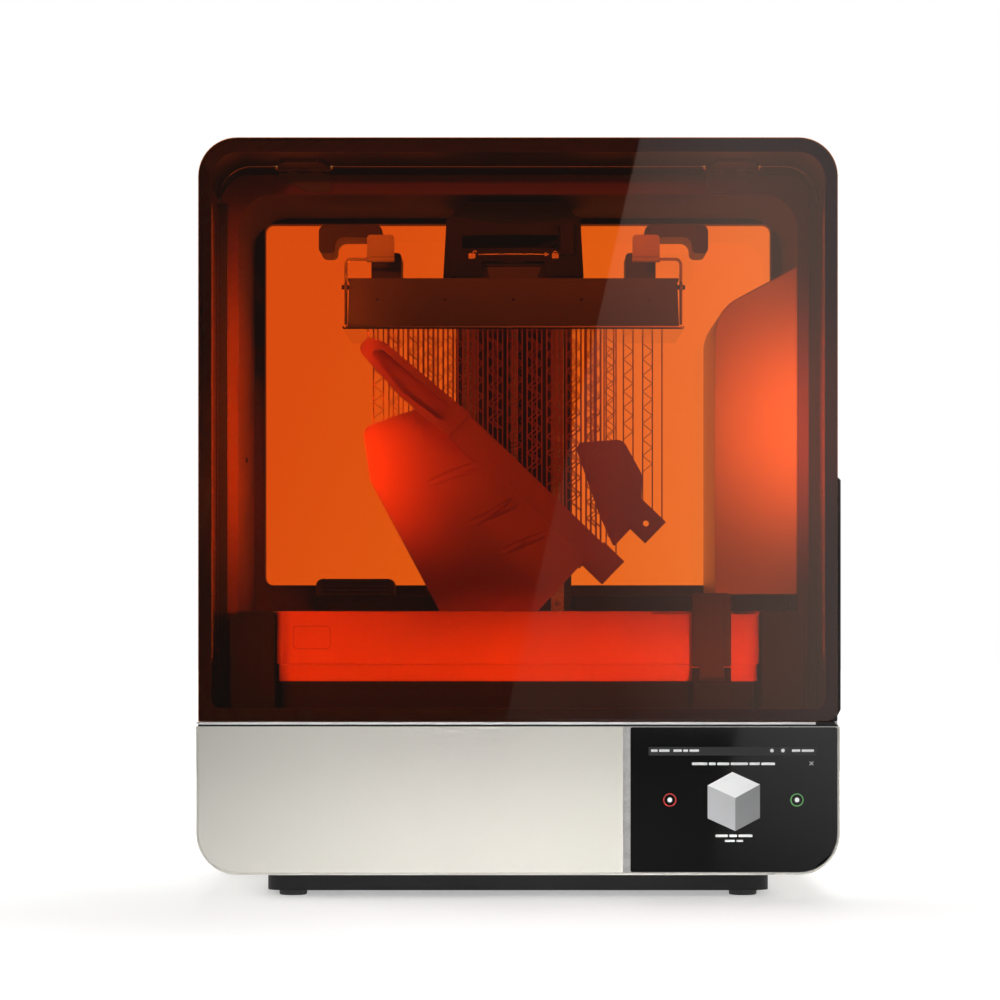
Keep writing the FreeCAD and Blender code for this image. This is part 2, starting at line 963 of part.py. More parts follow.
def fan_rotor():
    low = shell_back - fan_deep + fan_plate + slide_clear
    high = shell_back - fan_plate
    hub = rod(fan_hub, vec(fan_x, low, fan_z), vec(fan_x, high, fan_z))
    shaft = rod(fan_shaft, vec(fan_x, low - fan_plate, fan_z), vec(fan_x, low + over, fan_z))
    blades = []
    middle = (low + high) / 2
    chord = (high - low) * fan_chord_share
    for radius, pitch in ((fan_hub - over, fan_root_pitch), (fan_bore - fan_tip_gap, fan_tip_pitch)):
        half_y = chord / 2 * math.cos(math.radians(pitch))
        half_x = chord / 2 * math.sin(math.radians(pitch))
        skew = fan_blade_thick / 2
        points = [
            (-half_x - skew, -half_y), (-half_x + skew, -half_y),
            (half_x + skew, half_y), (half_x - skew, half_y),
        ]
        ring = [vec(fan_x + u, middle + v, fan_z + radius) for u, v in points]
        blades.append(Part.makePolygon(ring + ring[:1]))
    blade = Part.makeLoft(blades, True, True)
    wheel = []
    for i in range(fan_blades):
        turned = blade.copy()
        turned.rotate(vec(fan_x, 0, fan_z), vec(0, 1, 0), 360.0 * i / fan_blades)
        wheel.append(turned)
    sweep = rod(fan_bore - fan_tip_gap, vec(fan_x, low, fan_z), vec(fan_x, high, fan_z))
    return union([hub, shaft] + [b.common(sweep) for b in wheel])


def rear_shell():
    outer = prism(arch(upper_half, trim_top, upper_high, upper_corner), "xz", split_y, shell_back)
    w = upper_wall
    inner = arch(upper_half - w, trim_top - over, upper_high - w, upper_corner - w)
    shell = outer.cut(prism(inner, "xz", split_y - over, shell_back + over))
    groove_y = (split_y - over, split_y + hinge_groove)
    groove = box((-base_half, base_half), groove_y, (upper_high - flange_top_gap, upper_high + over))
    return shell.cut(groove)


def shroud_outline(inset):
    right = liner_half - inset
    slope = (shroud_ridge - shroud_eave) / (liner_half - shroud_left)
    drop = inset * math.sqrt(1 + slope * slope)
    left = shroud_left + inset
    eave = shroud_eave + slope * inset - drop
    ridge = shroud_ridge - slope * inset - drop
    low = shroud_low + inset
    return [(left, low, 0), (right, low, 0), (right, ridge, 0), (left, eave, shroud_round - inset)]


def cartridge_outline(grow):
    corners = shroud_outline(shroud_wall + cartridge_clear - grow)
    low = shroud_low + shroud_wall + slide_clear - grow
    corners[0] = (corners[0][0], low, 0)
    corners[1] = (corners[1][0], low, 0)
    return corners


def window_outline(grow):
    half = window_half + grow
    return rectangle((-half, half), (window_low - grow, window_high + grow), window_corner + grow)


def window_form(grow, lap, low, high):
    # the window's opening, less the corner that the cartridge bay takes
    bay = prism(cartridge_outline(hatch_clear + bay_border - lap), "xz", low - over, high + over)
    return prism(window_outline(grow), "xz", low, high).cut(bay)


def chamber_liner():
    outer = arch(liner_half + liner_wall, deck_top, liner_high + liner_wall, liner_corner + liner_wall)
    inner = arch(liner_half, deck_top - over, liner_high, liner_corner)
    liner = prism(outer, "xz", split_y, liner_back + back_wall)
    liner = liner.fuse(prism(flange_outline(), "xz", split_y, split_y + liner_wall))
    liner = liner.cut(prism(inner, "xz", split_y - over, liner_back))
    liner = liner.cut(window_form(0, 0, liner_back - over, liner_back + back_wall + over))
    groove_end = liner_back + window_groove_deep
    groove = prism(window_outline(window_groove_far), "xz", liner_back, groove_end)
    groove = groove.cut(prism(window_outline(window_groove_near), "xz", liner_back - over, groove_end + over))
    liner = liner.cut(groove.common(prism(inner, "xz", liner_back - over, groove_end)))
    hatch = prism(cartridge_outline(hatch_clear), "xz", liner_back - over, liner_back + back_wall + over)
    return liner.cut(hatch).removeSplitter()


def flange_outline():
    side = upper_half - flange_edge
    return arch(side, trim_top, upper_high - flange_top_gap, upper_corner - flange_edge)


def rear_frame():
    corners = arch(upper_half, trim_top, upper_high, upper_corner)
    frame = prism(corners, "xz", shell_back, rear_face)
    frame = frame.cut(window_form(0, 0, shell_back - over, back + over))
    frame = frame.cut(prism(cartridge_outline(hatch_clear), "xz", shell_back - over, back + over))
    sleeve = window_form(window_lap, bay_lap, liner_back + back_wall + window_thick, shell_back)
    sleeve = sleeve.cut(window_form(0, 0, liner_back, back))
    return frame.fuse(sleeve).removeSplitter()


def rear_window():
    start = liner_back + back_wall
    return window_form(window_lap, bay_lap, start, start + window_thick)


def hood_frame():
    outer = prism(arch(upper_half, hood_low, upper_high, upper_corner), "xz", hood_shell_front, hood_back)
    w = hood_wall
    inner = arch(upper_half - w, hood_low - over, upper_high - w, upper_corner - w)
    frame = outer.cut(prism(inner, "xz", hood_shell_front + w, hood_back + over))
    half = upper_half - hood_border
    low = hood_low + hood_border_low
    high = upper_high - hood_border_top
    opening = [
        (-half, low, hood_inner_low_corner), (half, low, hood_inner_low_corner),
        (half, high, hood_inner_corner), (-half, high, hood_inner_corner),
    ]
    frame = frame.cut(prism(opening, "xz", hood_shell_front - over, hood_shell_front + w + over))
    for side in (-1, 1):
        x = sorted((side * (hinge_inner - hinge_room), side * (hinge_outer + hinge_room)))
        roof_z = (upper_high - flange_top_gap, upper_high + over)
        frame = frame.cut(box(x, (roof_back, hood_back + over), roof_z))
    windows = prism(side_window_outline(0), "yz", -base_half, base_half)
    strips = []
    for side in (-1, 1):
        edge = side * (upper_half - w)
        x = sorted((edge, edge - side * return_width))
        z = (hood_low + return_low, upper_high - return_high)
        strips.append(box(x, (hood_back - w, hood_back), z))
    return union([frame.cut(windows)] + strips)


def side_window_outline(grow):
    y = (hood_shell_front + side_window_front - grow, hood_back - side_window_back + grow)
    z = (hood_low + side_window_low - grow, upper_high - side_window_high + grow)
    return rectangle(y, z, side_window_corner + grow)


def hood_side_windows():
    outer = upper_half - hood_wall
    pane = prism(side_window_outline(side_window_lap), "yz", outer - side_window_thick, outer)
    return Part.makeCompound([pane, mirrored(pane, 0)])


def hood_front_panel():
    corners = [
        (-upper_half, hood_low, 0),
        (upper_half, hood_low, hood_panel_low_corner),
        (upper_half, upper_high, upper_corner),
        (-upper_half, upper_high, upper_corner),
    ]
    return prism(corners, "xz", hood_front, hood_shell_front)


def hood_seal():
    strips = []
    middle = upper_half - hood_wall - return_width / 2
    z = (hood_low + return_low, upper_high - return_high)
    for side in (-1, 1):
        x = span(side * middle, seal_width)
        strips.append(box(x, (hood_back, split_y - seal_squeeze), z))
    return Part.makeCompound(strips)


def hood_grip():
    low = hood_low + grip_low
    corners = [
        (upper_half, low - grip_slant, 0),
        (upper_half + grip_proud, low, fine_round),
        (upper_half + grip_proud, low + grip_long, fine_round),
        (upper_half, low + grip_long + grip_proud, 0),
    ]
    strip = prism(corners, "xz", hood_shell_front, hood_shell_front + grip_deep)
    scoop_x = upper_half + grip_scoop + fine_round
    start = vec(scoop_x, hood_shell_front + grip_deep, low + grip_scoop)
    return strip.cut(rod(grip_scoop, start, start + vec(0, 0, grip_long - 2 * grip_scoop)))


def knuckle_spans(owner):
    width = (hinge_outer - hinge_inner) / hinge_knuckles
    spans = []
    for i in range(owner, hinge_knuckles, 2):
        low = hinge_inner + i * width
        spans.append((low + knuckle_gap / 2, low + width - knuckle_gap / 2))
    return spans


def axis_point(x):
    return vec(x, hinge_y, hinge_z)


def hinge_leaves():
    # hinge halves under the hood's roof, tapered towards the front
    high = upper_high - hood_wall
    low = high - leaf_thick
    plate = [
        (hinge_inner, roof_back, 0),
        (hinge_outer, roof_back, 0),
        (hinge_outer - leaf_taper, roof_back - leaf_long, soft_round),
        (hinge_inner + leaf_taper, roof_back - leaf_long, soft_round),
    ]
    leaf = [prism(plate, "xy", low, high)]
    for x in knuckle_spans(0):
        leaf.append(rod(hinge_radius, axis_point(x[0]), axis_point(x[1])))
        leaf.append(box(x, (roof_back - over, hinge_y), (low, high)))
    bore = rod(pin_radius + running, axis_point(hinge_inner), axis_point(hinge_outer))
    leaf = union(leaf).cut(bore)
    return Part.makeCompound([leaf, mirrored(leaf, 0)])


def hinge_brackets():
    # fixed hinge halves on the front flange of the liner
    low = hinge_z - hinge_radius - bracket_high
    top = hinge_z - hinge_radius - over
    arm = [
        (hinge_inner, low, soft_round), (hinge_inner + bracket_foot, low, soft_round),
        (hinge_outer, top - bracket_short, small_round), (hinge_outer, top, 0), (hinge_inner, top, 0),
    ]
    bracket = [prism(arm, "xz", split_y - bracket_thick, split_y)]
    for x in knuckle_spans(1):
        bracket.append(rod(hinge_radius, axis_point(x[0]), axis_point(x[1])))
        bracket.append(box(x, (split_y - bracket_thick, split_y), (top - over, hinge_z)))
    bore = rod(pin_radius + running, axis_point(hinge_inner), axis_point(hinge_outer))
    bracket = union(bracket).cut(bore)
    return Part.makeCompound([bracket, mirrored(bracket, 0)])


def hinge_pins():
    pin = rod(pin_radius, axis_point(hinge_inner - pin_radius), axis_point(hinge_outer + pin_radius))
    return Part.makeCompound([pin, mirrored(pin, 0)])


def z_tower():
    half = tower_width / 2
    slot = tower_slot / 2
    inner = half - tower_wall
    lip = tower_front + tower_wall
    web = liner_back - tower_wall
    x = column_x
    corners = [
        (x - half, tower_front, fine_round), (x - slot, tower_front, fine_round),
        (x - slot, lip, fine_round), (x - inner, lip, small_round),
        (x - inner, web, small_round), (x + inner, web, small_round),
        (x + inner, lip, small_round), (x + slot, lip, fine_round),
        (x + slot, tower_front, fine_round), (x + half, tower_front, fine_round),
        (x + half, liner_back, 0), (x - half, liner_back, 0),
    ]
    return prism(corners, "xy", deck_top, tower_high)


def z_rails():
    rails = []
    for side in (-1, 1):
        x = column_x + side * rail_offset
        half = rail_width / 2
        y = tower_front - rail_high
        waist = half - rail_groove
        groove = [y + rail_high * share for share in (0.4, 0.55, 0.7)]
        corners = [
            (x - half, tower_front, 0), (x - half, groove[2], 0),
            (x - waist, groove[1], 0), (x - half, groove[0], 0),
            (x - half, y, fine_round), (x + half, y, fine_round),
            (x + half, groove[0], 0), (x + waist, groove[1], 0),
            (x + half, groove[2], 0), (x + half, tower_front, 0),
        ]
        rails.append(prism(corners, "xy", rail_low, rail_top))
    return Part.makeCompound(rails)


def screw_point(z):
    return vec(column_x, screw_y, z)


def bearing_low():
    return screw_shoulder + bearing_gap


def top_bearing():
    inner = tower_width / 2 - tower_wall
    x = span(column_x, 2 * inner)
    y = (tower_front + tower_wall, liner_back - tower_wall)
    block = prism(rectangle(x, y, small_round), "xy", bearing_low(), bearing_low() + bearing_thick)
    low = bearing_low()
    bore = rod(screw_journal + running, screw_point(low - over), screw_point(low + bearing_thick + over))
    return block.cut(bore)


def lead_screw():
    shaft = rod(screw_radius, screw_point(screw_low), screw_point(screw_shoulder))
    top = rod(screw_journal, screw_point(screw_shoulder), screw_point(bearing_low() + bearing_thick + 2))
    foot = rod(screw_foot_radius, screw_point(screw_low - screw_foot_long), screw_point(screw_low))
    return union([shaft, top, foot])


def z_motor():
    x = span(column_x, motor_side)
    y = span(screw_y, motor_side)
    body = rectangle(x, y, soft_round)
    motor = prism(body, "xy", base_high - motor_long, base_high)
    boss = rod(motor_boss_radius, screw_point(base_high), screw_point(deck_top + motor_boss_high))
    bore_low = screw_low - screw_foot_long - slide_clear
    bore_top = deck_top + motor_boss_high + over
    bore = rod(screw_foot_radius + running, screw_point(bore_low), screw_point(bore_top))
    return motor.fuse(boss).cut(bore)


def carriage_plate():
    x = span(column_x, 2 * cover_foot_half)
    return prism(rectangle(x, (plate_low, plate_high), soft_round), "xz", plate_front, plate_back)


def linear_blocks():
    blocks = []
    for side in (-1, 1):
        x = column_x + side * rail_offset
        groove_half = rail_width / 2 + slide_clear
        groove_y = tower_front - rail_high - slide_clear
        for z in (plate_low + small_round, plate_high - small_round - block_tall):
            body = box(span(x, block_width), (plate_back, plate_back + block_deep), (z, z + block_tall))
            groove_x = (x - groove_half, x + groove_half)
            groove = box(groove_x, (groove_y, tower_front), (z - over, z + block_tall + over))
            blocks.append(body.cut(groove))
    return Part.makeCompound(blocks)


def lead_nut():
    flange = rod(nut_flange_radius, screw_point(nut_low), screw_point(nut_low + nut_flange))
    sleeve = rod(nut_radius, screw_point(nut_low - nut_long + nut_flange), screw_point(nut_low))
    arm_y = (plate_back, screw_y - screw_radius - small_round)
    arm = box(span(column_x, 2 * nut_arm_half), arm_y, (nut_low, nut_low + nut_flange))
    bore = rod(screw_radius + running, screw_point(nut_low - nut_long), screw_point(nut_low + nut_long))
    return union([flange, sleeve, arm]).cut(bore)


def tongue(clear, start, end):
    top = platform_top + tongue_high + clear
    low = platform_top - clear
    x = column_x
    foot = tongue_foot_half + clear
    head = tongue_top_half + 2 * clear
    corners = [(x - foot, low, 0), (x + foot, low, 0), (x + head, top, 0), (x - head, top, 0)]
    return prism(corners, "xz", start, end)


def carriage_arm():
    x = span(column_x, 2 * arm_half)
    high = arm_low + arm_thick
    arm = prism(rectangle(x, (arm_front, plate_front), 0), "xy", arm_low, high)
    end = tongue_front + tongue_long + slide_clear
    arm = arm.cut(tongue(slide_clear, arm_front - over, end))
    post_top = lever_low - slide_clear
    pivot = vec(lever_x, lever_y, high)
    post = rod(lever_post, pivot, vec(lever_x, lever_y, post_top))
    pin = rod(lever_pin, pivot, vec(lever_x, lever_y, lever_low + lever_thick + lever_pin))
    return union([arm, post, pin])


def cover_form(inset):
    # moulded cover: the meeting of its front, side and plan outlines
    low = cover_low - (over if inset else 0)
    roof = cover_high - inset
    foot = cover_foot_half - inset
    shoulder = cover_shoulder_half - inset
    top = cover_roof_half - inset
    x = column_x
    nose = lever_y - cover_bow
    start = nose - over
    ahead = [
        (x - foot, low, 0), (x + foot, low, 0), (x + shoulder, cover_shoulder, cover_round),
        (x + top, roof, cover_round), (x - top, roof, cover_round),
        (x - shoulder, cover_shoulder, cover_round),
    ]
    end = plate_front + (over if inset else 0)
    beside = [
        (start, low, 0), (end, low, 0), (end, roof, 0),
        (plate_front - cover_roof_long + inset, roof, cover_round),
        (nose + inset, cover_shoulder, cover_round), (start, cover_shoulder - cover_round, 0),
    ]
    form = prism(ahead, "xz", start, end).common(prism(beside, "yz", x - foot, x + foot))
    pivot = vec(lever_x, lever_y, low)
    bow = rod(cover_bow - inset, pivot, vec(lever_x, lever_y, roof))
    behind = box((x - foot, x + foot), (lever_y, end), (low, roof))
    return form.common(bow.fuse(behind))


def carriage_housing():
    shell = cover_form(0).cut(cover_form(cover_wall))
    x = span(lever_x, 2 * lever_slot_half)
    slot_front = lever_y - cover_bow - 1
    slot = box(x, (slot_front, lever_y - cover_bow / 2), (slot_low, slot_high))
    nose = (lever_y - cover_bow - over, arm_front)
    notch = box(span(column_x, 2 * cover_notch_half), nose, (cover_low - over, cover_low + cover_notch_high))
    return shell.cut(slot.fuse(notch))


def lock_lever():
    low = lever_low
    high = low + lever_thick
    pivot = vec(lever_x, lever_y, low)
    reach = cover_bow + lever_gap
    hub = rod(lever_hub, pivot, vec(lever_x, lever_y, high))
    bar = box(span(lever_x, 2 * lever_half), (lever_y - reach - over, lever_y), (low, high))
    x = span(lever_x, 2 * knob_half)
    knob_y = lever_y - reach
    knob_face = rectangle(x, (slot_low - knob_drop, slot_high + knob_rise), small_round)
    knob = prism(knob_face, "xz", knob_y - knob_thick, knob_y)
    bore = rod(lever_pin + running, pivot - vec(0, 0, over), pivot + vec(0, 0, lever_thick + over))
    lever = union([hub, bar, knob]).cut(bore)
    lever.rotate(pivot, vec(0, 0, 1), lever_swing / 2)
    return lever


def platform_section(inset):
    low = platform_bottom + plate_sheet
    x = column_x
    foot = platform_foot_half - inset
    head = platform_top_half - inset
    high = platform_top - inset
    return [(x - foot, low, 0), (x + foot, low, 0), (x + head, high, 0), (x - head, high, 0)]


def platform_body():
    end = platform_front + platform_deep
    body = prism(platform_section(0), "xz", platform_front, end)
    w = platform_wall
    body = body.cut(prism(platform_section(w), "xz", platform_front + w, end - w))
    reach = platform_top_half + platform_lip
    lip_y = (platform_front - platform_lip, end)
    lip_z = (platform_top - platform_lip_thick, platform_top)
    lip = box(span(column_x, 2 * reach), lip_y, lip_z)
    lip = lip.cut(box(span(column_x, 2 * (platform_top_half - w)), (platform_front + w, end - w), lip_z))
    pins = []
    for side in (-1, 1):
        start = vec(column_x + side * (platform_top_half - w / 2), release_y, release_z)
        end_x = column_x + side * (wire_offset + wire_radius + release_pin_end)
        pins.append(rod(release_pin, start, vec(end_x, release_y, release_z)))
    return union([body, lip, tongue(0, tongue_front, tongue_front + tongue_long)] + pins)


def build_plate():
    x = span(column_x, 2 * sheet_half)
    y = (platform_front - sheet_lip, platform_front + platform_deep + sheet_lip)
    sheet = prism(rectangle(x, y, sheet_corner), "xy", platform_bottom, platform_bottom + plate_sheet)
    rim = [e for e in sheet.Edges if e.BoundBox.ZMax < platform_bottom + 0.1]
    return sheet.makeChamfer(sheet_chamfer, rim)


def scoop_blade():
    # bent sheet with three pressed ribs, drawn level with its handle towards -X
    sheet = tube(scoop_bend, scoop_bend - scoop_wall, vec(-scoop_long, scoop_bend, -scoop_crown),
                 vec(2 * scoop_long, scoop_bend, -scoop_crown))
    edge = [
        (-scoop_left / 2, -scoop_rim_width / 2, 0), (-0.74 * scoop_left, -0.6 * scoop_crown, soft_round),
        (-scoop_left, -1.08 * scoop_crown, 3 * soft_round), (-0.38 * scoop_left, -1.5 * scoop_crown, 0),
        (0.8 * scoop_long, -scoop_wide, soft_round), (scoop_long, -1.5 * scoop_crown, 2 * soft_round),
        (scoop_long - small_round, -scoop_rim_width / 2, 0),
    ]
    blade = sheet.common(prism(edge, "xz", -over, scoop_bend / 2))
    for x in rib_places:
        start = vec(x, -rib_radius + over, -scoop_crown)
        end = vec(x + rib_slant, scoop_wall, -scoop_crown + rib_reach)
        blade = blade.cut(rod(rib_radius, start, end))
    return blade


def scoop_handle():
    grip = [
        (0, 0, 0), (-0.88 * haft_long, -haft_width / 4, 3 * soft_round),
        (-haft_long, -haft_width / 2, 2 * soft_round), (-haft_long, -haft_width, 2 * soft_round),
        (-haft_long / 2, -1.15 * haft_width, 10 * soft_round), (0, -haft_width, 0),
    ]
    dish = [
        (-haft_width / 2, -haft_width / 4, soft_round), (-0.85 * haft_long, -0.45 * haft_width, soft_round),
        (-0.92 * haft_long, -0.8 * haft_width, soft_round), (-haft_long / 2, -haft_width, soft_round),
        (-haft_width / 2, -0.8 * haft_width, soft_round),
    ]
    body = prism(grip, "xz", -haft_forward, haft_deep - haft_forward)
    ramp = [
        (-haft_root, -haft_forward, 0), (-haft_root / 3, -haft_forward, soft_round),
        (1.5 * haft_root, scoop_rim_in, 0), (1.5 * haft_root, scoop_rim_in + scoop_rim_deep, 0),
        (-haft_root, scoop_rim_in + scoop_rim_deep, 0),
    ]
    root = prism(ramp, "xy", -haft_width, -small_round)
    return body.fuse(root).cut(prism(dish, "xz", -haft_forward - over, haft_dish - haft_forward))


def scoop():
    rim_y = (scoop_rim_in, scoop_rim_in + scoop_rim_deep)
    wall_y = (scoop_rim_in, scoop_rim_in + back_wall_deep)
    solids = [scoop_blade(), scoop_handle()]
    solids.append(box((-over, scoop_long), rim_y, (-scoop_rim_width, 0)))
    solids.append(box((-over, scoop_long), wall_y, (-back_wall_thick, 0)))
    solids.append(box((scoop_long - over, scoop_long + lug_long), rim_y, (-lug_width, small_round)))
    shape = union(solids)
    shape.rotate(vec(0, 0, 0), vec(0, 1, 0), scoop_tilt)
    shape.translate(vec(column_x + scoop_side, platform_mid - scoop_forward, platform_bottom - scoop_drop))
    return shape


def print_cradle():
    # rounded plate with a drilled tab, printed behind the scoop
    x = column_x + cradle_side
    z = platform_bottom - cradle_drop
    y = platform_mid + cradle_behind
    half = cradle_wide / 2
    corners = [
        (x - 1.2 * half, z + 1.1 * half, 2 * soft_round), (x + 0.15 * half, z + 1.2 * half, 3 * soft_round),
        (x + 0.7 * half, z + 0.2 * half, 4 * soft_round), (x + 0.65 * half, z - half, 0),
        (x - 0.1 * half, z - 1.8 * half, small_round), (x - 0.5 * half, z - 0.9 * half, 4 * soft_round),
    ]
    plate = prism(corners, "xz", y, y + cradle_thick)
    tab = box((-lug_long, lug_long / 2), (0, cradle_thick), span(0, lug_width))
    tab.rotate(vec(0, 0, 0), vec(0, 1, 0), scoop_tilt)
    tab.translate(vec(x + 0.8 * half, y, z - 1.15 * half))
    hole = vec(x + 0.8 * half, y - over, z - 1.15 * half)
    return plate.fuse(tab).cut(rod(cradle_hole, hole, hole + vec(0, cradle_thick + 2 * over, 0)))


def support_columns(shape):
    # square columns from the platform to the first surface under each grid point, none before the blade
    columns = []
    around = shape.BoundBox
    half = support_thick / 2
    crown = platform_mid - scoop_forward
    y = crown - haft_forward + support_inset
    row = 0
    while y < around.YMax:
        x = around.XMin + support_pitch_x * (row % 2) / 2
        while x < around.XMax:
            hidden = x < column_x + scoop_side or y > crown + scoop_rim_in
            met = Part.makeLine(vec(x, y, platform_bottom), vec(x, y, print_low)).common(shape)
            if hidden and met.Edges:
                low = met.BoundBox.ZMax - support_sink
                columns.append(box((x - half, x + half), (y - half, y + half), (low, platform_bottom)))
            x += support_pitch_x
        y += support_pitch_y
        row += 1
    return columns


def printed_scoop():
    shape = Part.makeCompound([scoop(), print_cradle()])
    around = shape.BoundBox
    wide = (around.XMin - over, around.XMax + over)
    deep = (around.YMin - over, around.YMax + over)
    whole = shape.cut(box(wide, deep, (0, print_low)))
    return whole.Solids[0].multiFuse(whole.Solids[1:] + support_columns(whole)).removeSplitter()


def carry_handles():
    # hooked grips, drawn for the right side and mirrored
    tip_out = platform_top_half + handle_reach
    tip_in = tip_out - handle_tip
    neck_in = tip_out - handle_bar_long
    neck_out = neck_in + handle_neck
    foot_in = neck_in - handle_foot
    foot_top = platform_top + handle_foot_high
    bar_low = platform_top + handle_bar_rise
    bar_top = bar_low + handle_bar_thick
    tip_low = bar_low - handle_tip_drop
    corners = [
        (foot_in, platform_top, 0), (foot_in, foot_top, soft_round), (neck_in, foot_top, soft_round),
        (neck_in, bar_top, 2 * soft_round), (tip_out, bar_top, 2 * soft_round),
        (tip_out, tip_low, handle_tip_round), (tip_in, tip_low, handle_tip_round),
        (tip_in, bar_low, handle_hook_round), (neck_out, bar_low, soft_round), (neck_out, platform_top, 0),
    ]
    grip = prism(corners, "xz", handle_front, handle_front + handle_long)
    grip.translate(vec(column_x, 0, 0))
    return Part.makeCompound([grip, mirrored(grip, column_x)])


def release_handle(side):
    # bent wire on a pivot eye, with a finger tab rolled round its bar
    x = wire_offset
    lower = vec(x, release_y, release_z + wire_radius)
    corner = vec(x, release_y, release_bar_z)
    bend_start = corner - vec(0, 0, wire_bend)
    bend_end = corner - vec(wire_bend, 0, 0)
    slant = wire_bend * (1 - math.sqrt(0.5))
    bend_middle = corner - vec(slant, 0, slant)
    tab_out = wire_offset - tab_gap
    tab_in = tab_out - tab_width
    tab_high = release_bar_z + tab_tall
    bar_end = vec(tab_in + over, release_y, release_bar_z)
    path = Part.Wire([
        Part.makeLine(lower, bend_start),
        Part.Arc(bend_start, bend_middle, bend_end).toShape(),
        Part.makeLine(bend_end, bar_end),
    ])
    section = Part.Wire(Part.makeCircle(wire_radius, lower, vec(0, 0, 1)))
    wire = path.makePipeShell([section], True, False)
    leg_low = vec(x, release_y, platform_bottom + wire_rise)
    leg = rod(wire_radius, leg_low, vec(x, release_y, release_z - wire_radius))
    pivot = vec(x, release_y, release_z)
    eye = rod(release_eye, pivot - vec(wire_radius, 0, 0), pivot + vec(wire_radius, 0, 0))
    roll = rod(tab_roll, vec(tab_in, release_y, release_bar_z), vec(tab_out, release_y, release_bar_z))
    plate = rectangle((tab_in, tab_out), (release_bar_z, tab_high), 0)
    plate[2] = (tab_out, tab_high, soft_round)
    plate[3] = (tab_in, tab_high, soft_round)
    tab = prism(plate, "xz", release_y - tab_thick / 2, release_y + tab_thick / 2)
    handle = union([wire, leg, eye, roll, tab])
    bore = rod(release_pin + running, pivot - vec(release_eye, 0, 0), pivot + vec(release_eye, 0, 0))
    handle = handle.cut(bore)
    handle.translate(vec(column_x, 0, 0))
    if side < 0:
        handle = mirrored(handle, column_x)
    return handle


def tank_outline(inset):
    x = tank_half - inset
    return rectangle((-x, x), (tank_front + inset, tank_back - inset), tank_corner - inset)


def tank_frame():
    body = prism(tank_outline(0), "xy", tank_seam, tank_high)
    lower = outline(tank_outline(film_inset + film_ring), "xy", tank_seam)
    upper = outline(tank_outline(tank_wall), "xy", tank_high)
    body = body.cut(Part.makeLoft([lower, upper], True, True))
    step_y = (tank_front - over, tank_front + tank_corner)
    step_x = (tank_half - tank_step_long, tank_half + over)
    return body.cut(box(step_x, step_y, (tank_high - tank_step, tank_high + over)))


def film_frame():
    ring = prism(tank_outline(film_inset), "xy", tray_high, tank_seam)
    return ring.cut(prism(tank_outline(film_inset + film_ring), "xy", tray_high - over, tank_seam + over))


def tank_film():
    return prism(tank_outline(film_inset + film_ring), "xy", film_z, film_top)


def tank_guides():
    inner = tank_half + guide_gap
    outer = liner_half - guide_side_gap
    y = (tank_front + guide_inset, tank_back - guide_inset)
    w = guide_wall
    corners = [
        (inner, deck_top, 0), (outer, deck_top, 0),
        (outer, tank_high, guide_corner), (inner, tank_high, w),
    ]
    body = prism(corners, "xz", y[0], y[1])
    hollow = [
        (inner + w, deck_top - over, 0), (outer - w, deck_top - over, 0),
        (outer - w, tank_high - w, guide_corner - w), (inner + w, tank_high - w, 0),
    ]
    guide = body.cut(prism(hollow, "xz", y[0] + w, y[1] - w))
    return Part.makeCompound([guide, mirrored(guide, 0), latch_stand()])


def mixer():
    # low bar with flow slots, parked at the left of the tank
    low = film_top + slide_clear
    left = -film_inner + mixer_end_gap
    inset = film_inset + film_ring + mixer_end_gap
    y = (tank_front + inset, tank_back - inset)
    middle = left + mixer_width / 2
    half = mixer_width / 2
    top = mixer_top_width / 2
    corners = [
        (middle - half, low, 0), (middle + half, low, 0), (middle + half, low + mixer_foot, fine_round),
        (middle + top, low + mixer_high, small_round), (middle - top, low + mixer_high, small_round),
        (middle - half, low + mixer_foot, fine_round),
    ]
    bar = prism(corners, "xz", y[0], y[1])
    pitch = (y[1] - y[0]) / mixer_slots
    slots = []
    for i in range(mixer_slots):
        slot_y = y[0] + (i + 0.5) * pitch
        slot_z = low + mixer_foot + fine_round
        slot = rectangle(span(slot_y, pitch * mixer_slot_share), (slot_z, slot_z + mixer_slot_high))
        slots.append(prism(slot, "yz", middle - mixer_width, middle + mixer_width))
    return bar.cut(Part.makeCompound(slots))


def latch_y():
    back_face = tank_front - latch_stand_off
    return (back_face - latch_thick, back_face)


def latch_pivot(x):
    y = latch_y()
    return vec(x, (y[0] + y[1]) / 2, latch_pivot_z)


def latch_stand():
    left = latch_left
    right = latch_right
    y = latch_y()
    foot_top = latch_pivot_z - latch_ear_radius - latch_tilt_play
    solids = [box((left, right), (y[0], tank_front + tray_tank_inset), (deck_top, foot_top))]
    for x in ((left, left + latch_ear), (right - latch_ear, right)):
        solids.append(rod(latch_ear_radius, latch_pivot(x[0]), latch_pivot(x[1])))
        solids.append(box(x, y, (foot_top - over, latch_pivot_z)))
    solids.append(rod(latch_pin, latch_pivot(left + over), latch_pivot(right - over)))
    return union(solids)


